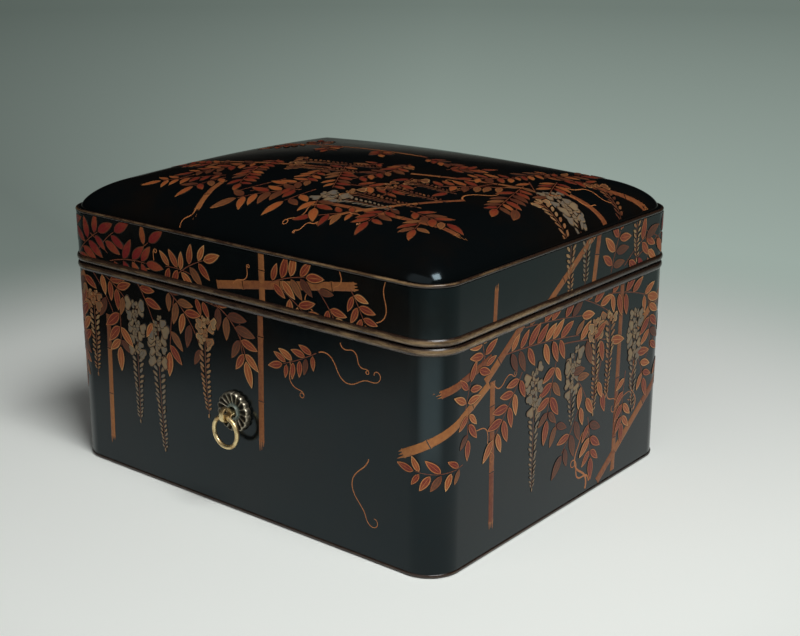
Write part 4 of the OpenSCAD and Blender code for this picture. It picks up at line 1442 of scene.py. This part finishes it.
# Height of the room's horizon, from 0 when level to 1 straight up
HORIZON_TOP = 0.09


def make_floor_paper(colours):
    # Matt paper sweep: pale and even under the box, where the softboxes light it, and grey further
    # off, where it has its own weak light, weaker on the left. Two patches outside the picture show
    # only to rays other than the camera's, in the lacquer and in the light thrown back onto the box:
    # a painted shade on the front left, so that the front wall mirrors deep black, and a glowing patch
    # of painted light before the near corner, which the corner mirrors as a soft upright band.
    material, tree = start_material("matt_paper")
    place = add(tree, "NewGeometry").outputs["Position"]
    reach = add(tree, "VectorMath", {0: place}, operation="LENGTH").outputs["Value"]
    depth = add(tree, "Math", {0: reach, 1: 10.0}, operation="LOGARITHM")
    far = add(tree, "MapRange", {"Value": depth.outputs[0], "From Min": math.log10(SWEEP_END),
                                 "From Max": math.log10(SWEEP_FAR)})
    tint = add(tree, "Mix", {FACTOR: far.outputs[0], FIRST: rgba(colours.sweep),
                             SECOND: rgba(colours.floor_far)}, data_type="RGBA")
    lit = add(tree, "BsdfPrincipled", {"Base Color": rgba(colours.floor_near), "Roughness": 0.9,
                                       "Specular IOR Level": 0.1})
    way = add(tree, "VectorMath", {0: place}, operation="NORMALIZE").outputs["Vector"]
    side = add(tree, "VectorMath", {0: way, 1: SWEEP_WAY}, operation="DOT_PRODUCT")
    light = add(tree, "MapRange", {"Value": side.outputs["Value"], "From Min": SWEEP_LEAST[0],
                                   "From Max": SWEEP_FULL[0], "To Min": SWEEP_LEAST[1],
                                   "To Max": SWEEP_FULL[1]})
    own = add(tree, "Emission", {"Color": tint.outputs[MIXED], "Strength": light.outputs[0]})
    behind = add(tree, "MapRange", {"Value": reach, "From Min": SWEEP_START, "From Max": SWEEP_END},
                 interpolation_type="SMOOTHSTEP")
    paper = add(tree, "MixShader", {0: behind.outputs[0], 1: lit.outputs[0], 2: own.outputs[0]})
    seen = add(tree, "LightPath").outputs["Is Camera Ray"]
    mirrored = add(tree, "Math", {0: 1.0, 1: seen}, operation="SUBTRACT").outputs[0]
    offset = add(tree, "VectorMath", {0: place, 1: SHADE_PLACE}, operation="SUBTRACT").outputs[0]
    across = add(tree, "VectorMath", {0: offset, 1: SHADE_SIZE}, operation="DIVIDE").outputs[0]
    apart = add(tree, "VectorMath", {0: across}, operation="LENGTH").outputs["Value"]
    shade = add(tree, "MapRange", {"Value": apart, "From Min": SHADE_EDGE[0], "From Max": SHADE_EDGE[1],
                                   "To Max": SHADE}, interpolation_type="SMOOTHSTEP")
    shade = add(tree, "Math", {0: shade.outputs[0], 1: mirrored}, operation="MULTIPLY")
    dark = add(tree, "BsdfDiffuse", {"Color": rgba(colours.edging)})
    shaded = add(tree, "MixShader", {0: shade.outputs[0], 1: paper.outputs[0], 2: dark.outputs[0]})
    away = add(tree, "VectorMath", {0: place, 1: GLOW_PLACE}, operation="SUBTRACT").outputs[0]
    distance = add(tree, "VectorMath", {0: away}, operation="LENGTH").outputs["Value"]
    aim = add(tree, "VectorMath", {0: away}, operation="NORMALIZE").outputs["Vector"]
    facing = add(tree, "VectorMath", {0: aim, 1: GLOW_WAY}, operation="DOT_PRODUCT").outputs["Value"]
    bright = add(tree, "Math", {0: mirrored, 1: GLOW}, operation="MULTIPLY").outputs[0]
    for value, (start, end) in ((distance, GLOW_NEAR), (distance, GLOW_FAR), (facing, GLOW_WIDTH)):
        edge = add(tree, "MapRange", {"Value": value, "From Min": start, "From Max": end},
                   interpolation_type="SMOOTHSTEP").outputs[0]
        bright = add(tree, "Math", {0: bright, 1: edge}, operation="MULTIPLY").outputs[0]
    glow = add(tree, "Emission", {"Color": rgba(colours.floor_near), "Strength": bright})
    both = add(tree, "AddShader", {0: shaded.outputs[0], 1: glow.outputs[0]})
    add(tree, "OutputMaterial", {"Surface": both.outputs[0]})
    return material


def place_in_scene(name, data, place, way=None):
    """Puts a lamp, camera or mesh in the scene, looking a way where told."""
    item = bpy.data.objects.new(name, data)
    item.location = place
    if way is not None:
        item.rotation_euler = way.to_track_quat("-Z", "Y").to_euler()
    bpy.context.scene.collection.objects.link(item)
    return item


class COSMETICBOX_OT_stage(bpy.types.Operator):
    """Set up the floor, the lamps, the dark room and the camera"""

    bl_idname = "cosmetic_box.stage"
    bl_label = "Stage"

    def execute(self, context):
        scene = context.scene
        mesh = bmesh.new()
        bmesh.ops.create_circle(mesh, cap_ends=True, segments=FLOOR_SEGMENTS, radius=FLOOR_RADIUS)
        data = bpy.data.meshes.new("floor_paper")
        mesh.to_mesh(data)
        mesh.free()
        data.materials.append(make_floor_paper(scene.box_colours))
        floor = place_in_scene("floor_paper", data, (0.0, 0.0, -FLOOR_DROP))
        for name, azimuth, elevation, distance, side, watts in LAMPS:
            lamp = bpy.data.lights.new(f"{name}_softbox", "AREA")
            lamp.shape = "SQUARE"
            lamp.size = side
            lamp.energy = watts
            az, el = math.radians(azimuth), math.radians(elevation)
            way = Vector((math.cos(el) * math.sin(az), -math.cos(el) * math.cos(az), math.sin(el)))
            place_in_scene(f"{name}_softbox", lamp, Vector(LAMP_TARGET) + way * distance, -way)
        world = bpy.data.worlds.new("dark_room")
        world.use_nodes = True
        tree = world.node_tree
        tree.nodes.clear()
        way = add(tree, "TexCoord").outputs["Generated"]
        up = add(tree, "SeparateXYZ", {0: way})
        high = add(tree, "MapRange", {"Value": up.outputs[2], "From Max": HORIZON_TOP},
                   interpolation_type="SMOOTHSTEP")
        room = add(tree, "Mix", {FACTOR: high.outputs[0], FIRST: rgba(scene.box_colours.horizon),
                                 SECOND: rgba(scene.box_colours.room)}, data_type="RGBA")
        sky = add(tree, "Background", {"Color": room.outputs[MIXED], "Strength": 1.0})
        add(tree, "OutputWorld", {"Surface": sky.outputs[0]})
        scene.world = world
        lens = bpy.data.cameras.new("photo_camera")
        lens.lens = CAMERA_LENS
        look = Vector(CAMERA_TARGET) - Vector(CAMERA_PLACE)
        scene.camera = place_in_scene("photo_camera", lens, CAMERA_PLACE, look)
        scene.view_settings.view_transform = "Standard"
        return {"FINISHED"}


class COSMETICBOX_PT_panel(bpy.types.Panel):
    """The box's pieces and stage, in the sidebar"""

    bl_label = "Cosmetic Box"
    bl_idname = "COSMETICBOX_PT_panel"
    bl_space_type = "VIEW_3D"
    bl_region_type = "UI"
    bl_category = "Cosmetic Box"

    def draw(self, context):
        for operator in OPERATORS:
            self.layout.operator(operator.bl_idname)
        for group in SETTINGS:
            settings = getattr(context.scene, group)
            for key in settings.bl_rna.properties.keys():
                if key not in ("rna_type", "name"):
                    self.layout.prop(settings, key)


OPERATORS = (COSMETICBOX_OT_case, COSMETICBOX_OT_lid, COSMETICBOX_OT_tray, COSMETICBOX_OT_fittings,
             COSMETICBOX_OT_sprays, COSMETICBOX_OT_stage)
SETTINGS = {"box_form": BoxForm, "fitting_form": FittingForm, "spray_form": SprayForm,
            "box_colours": BoxColours}


def register():
    for group, kind in SETTINGS.items():
        bpy.utils.register_class(kind)
        setattr(bpy.types.Scene, group, PointerProperty(type=kind))
    for operator in OPERATORS:
        bpy.utils.register_class(operator)
    bpy.utils.register_class(COSMETICBOX_PT_panel)


def unregister():
    bpy.utils.unregister_class(COSMETICBOX_PT_panel)
    for operator in reversed(OPERATORS):
        bpy.utils.unregister_class(operator)
    for group, kind in SETTINGS.items():
        delattr(bpy.types.Scene, group)
        bpy.utils.unregister_class(kind)


def main():
    register()
    bpy.ops.cosmetic_box.case()
    bpy.ops.cosmetic_box.lid()
    bpy.ops.cosmetic_box.tray()
    bpy.ops.cosmetic_box.fittings()
    bpy.ops.cosmetic_box.sprays()
    bpy.ops.cosmetic_box.stage()


if __name__ == "__main__":
    main()
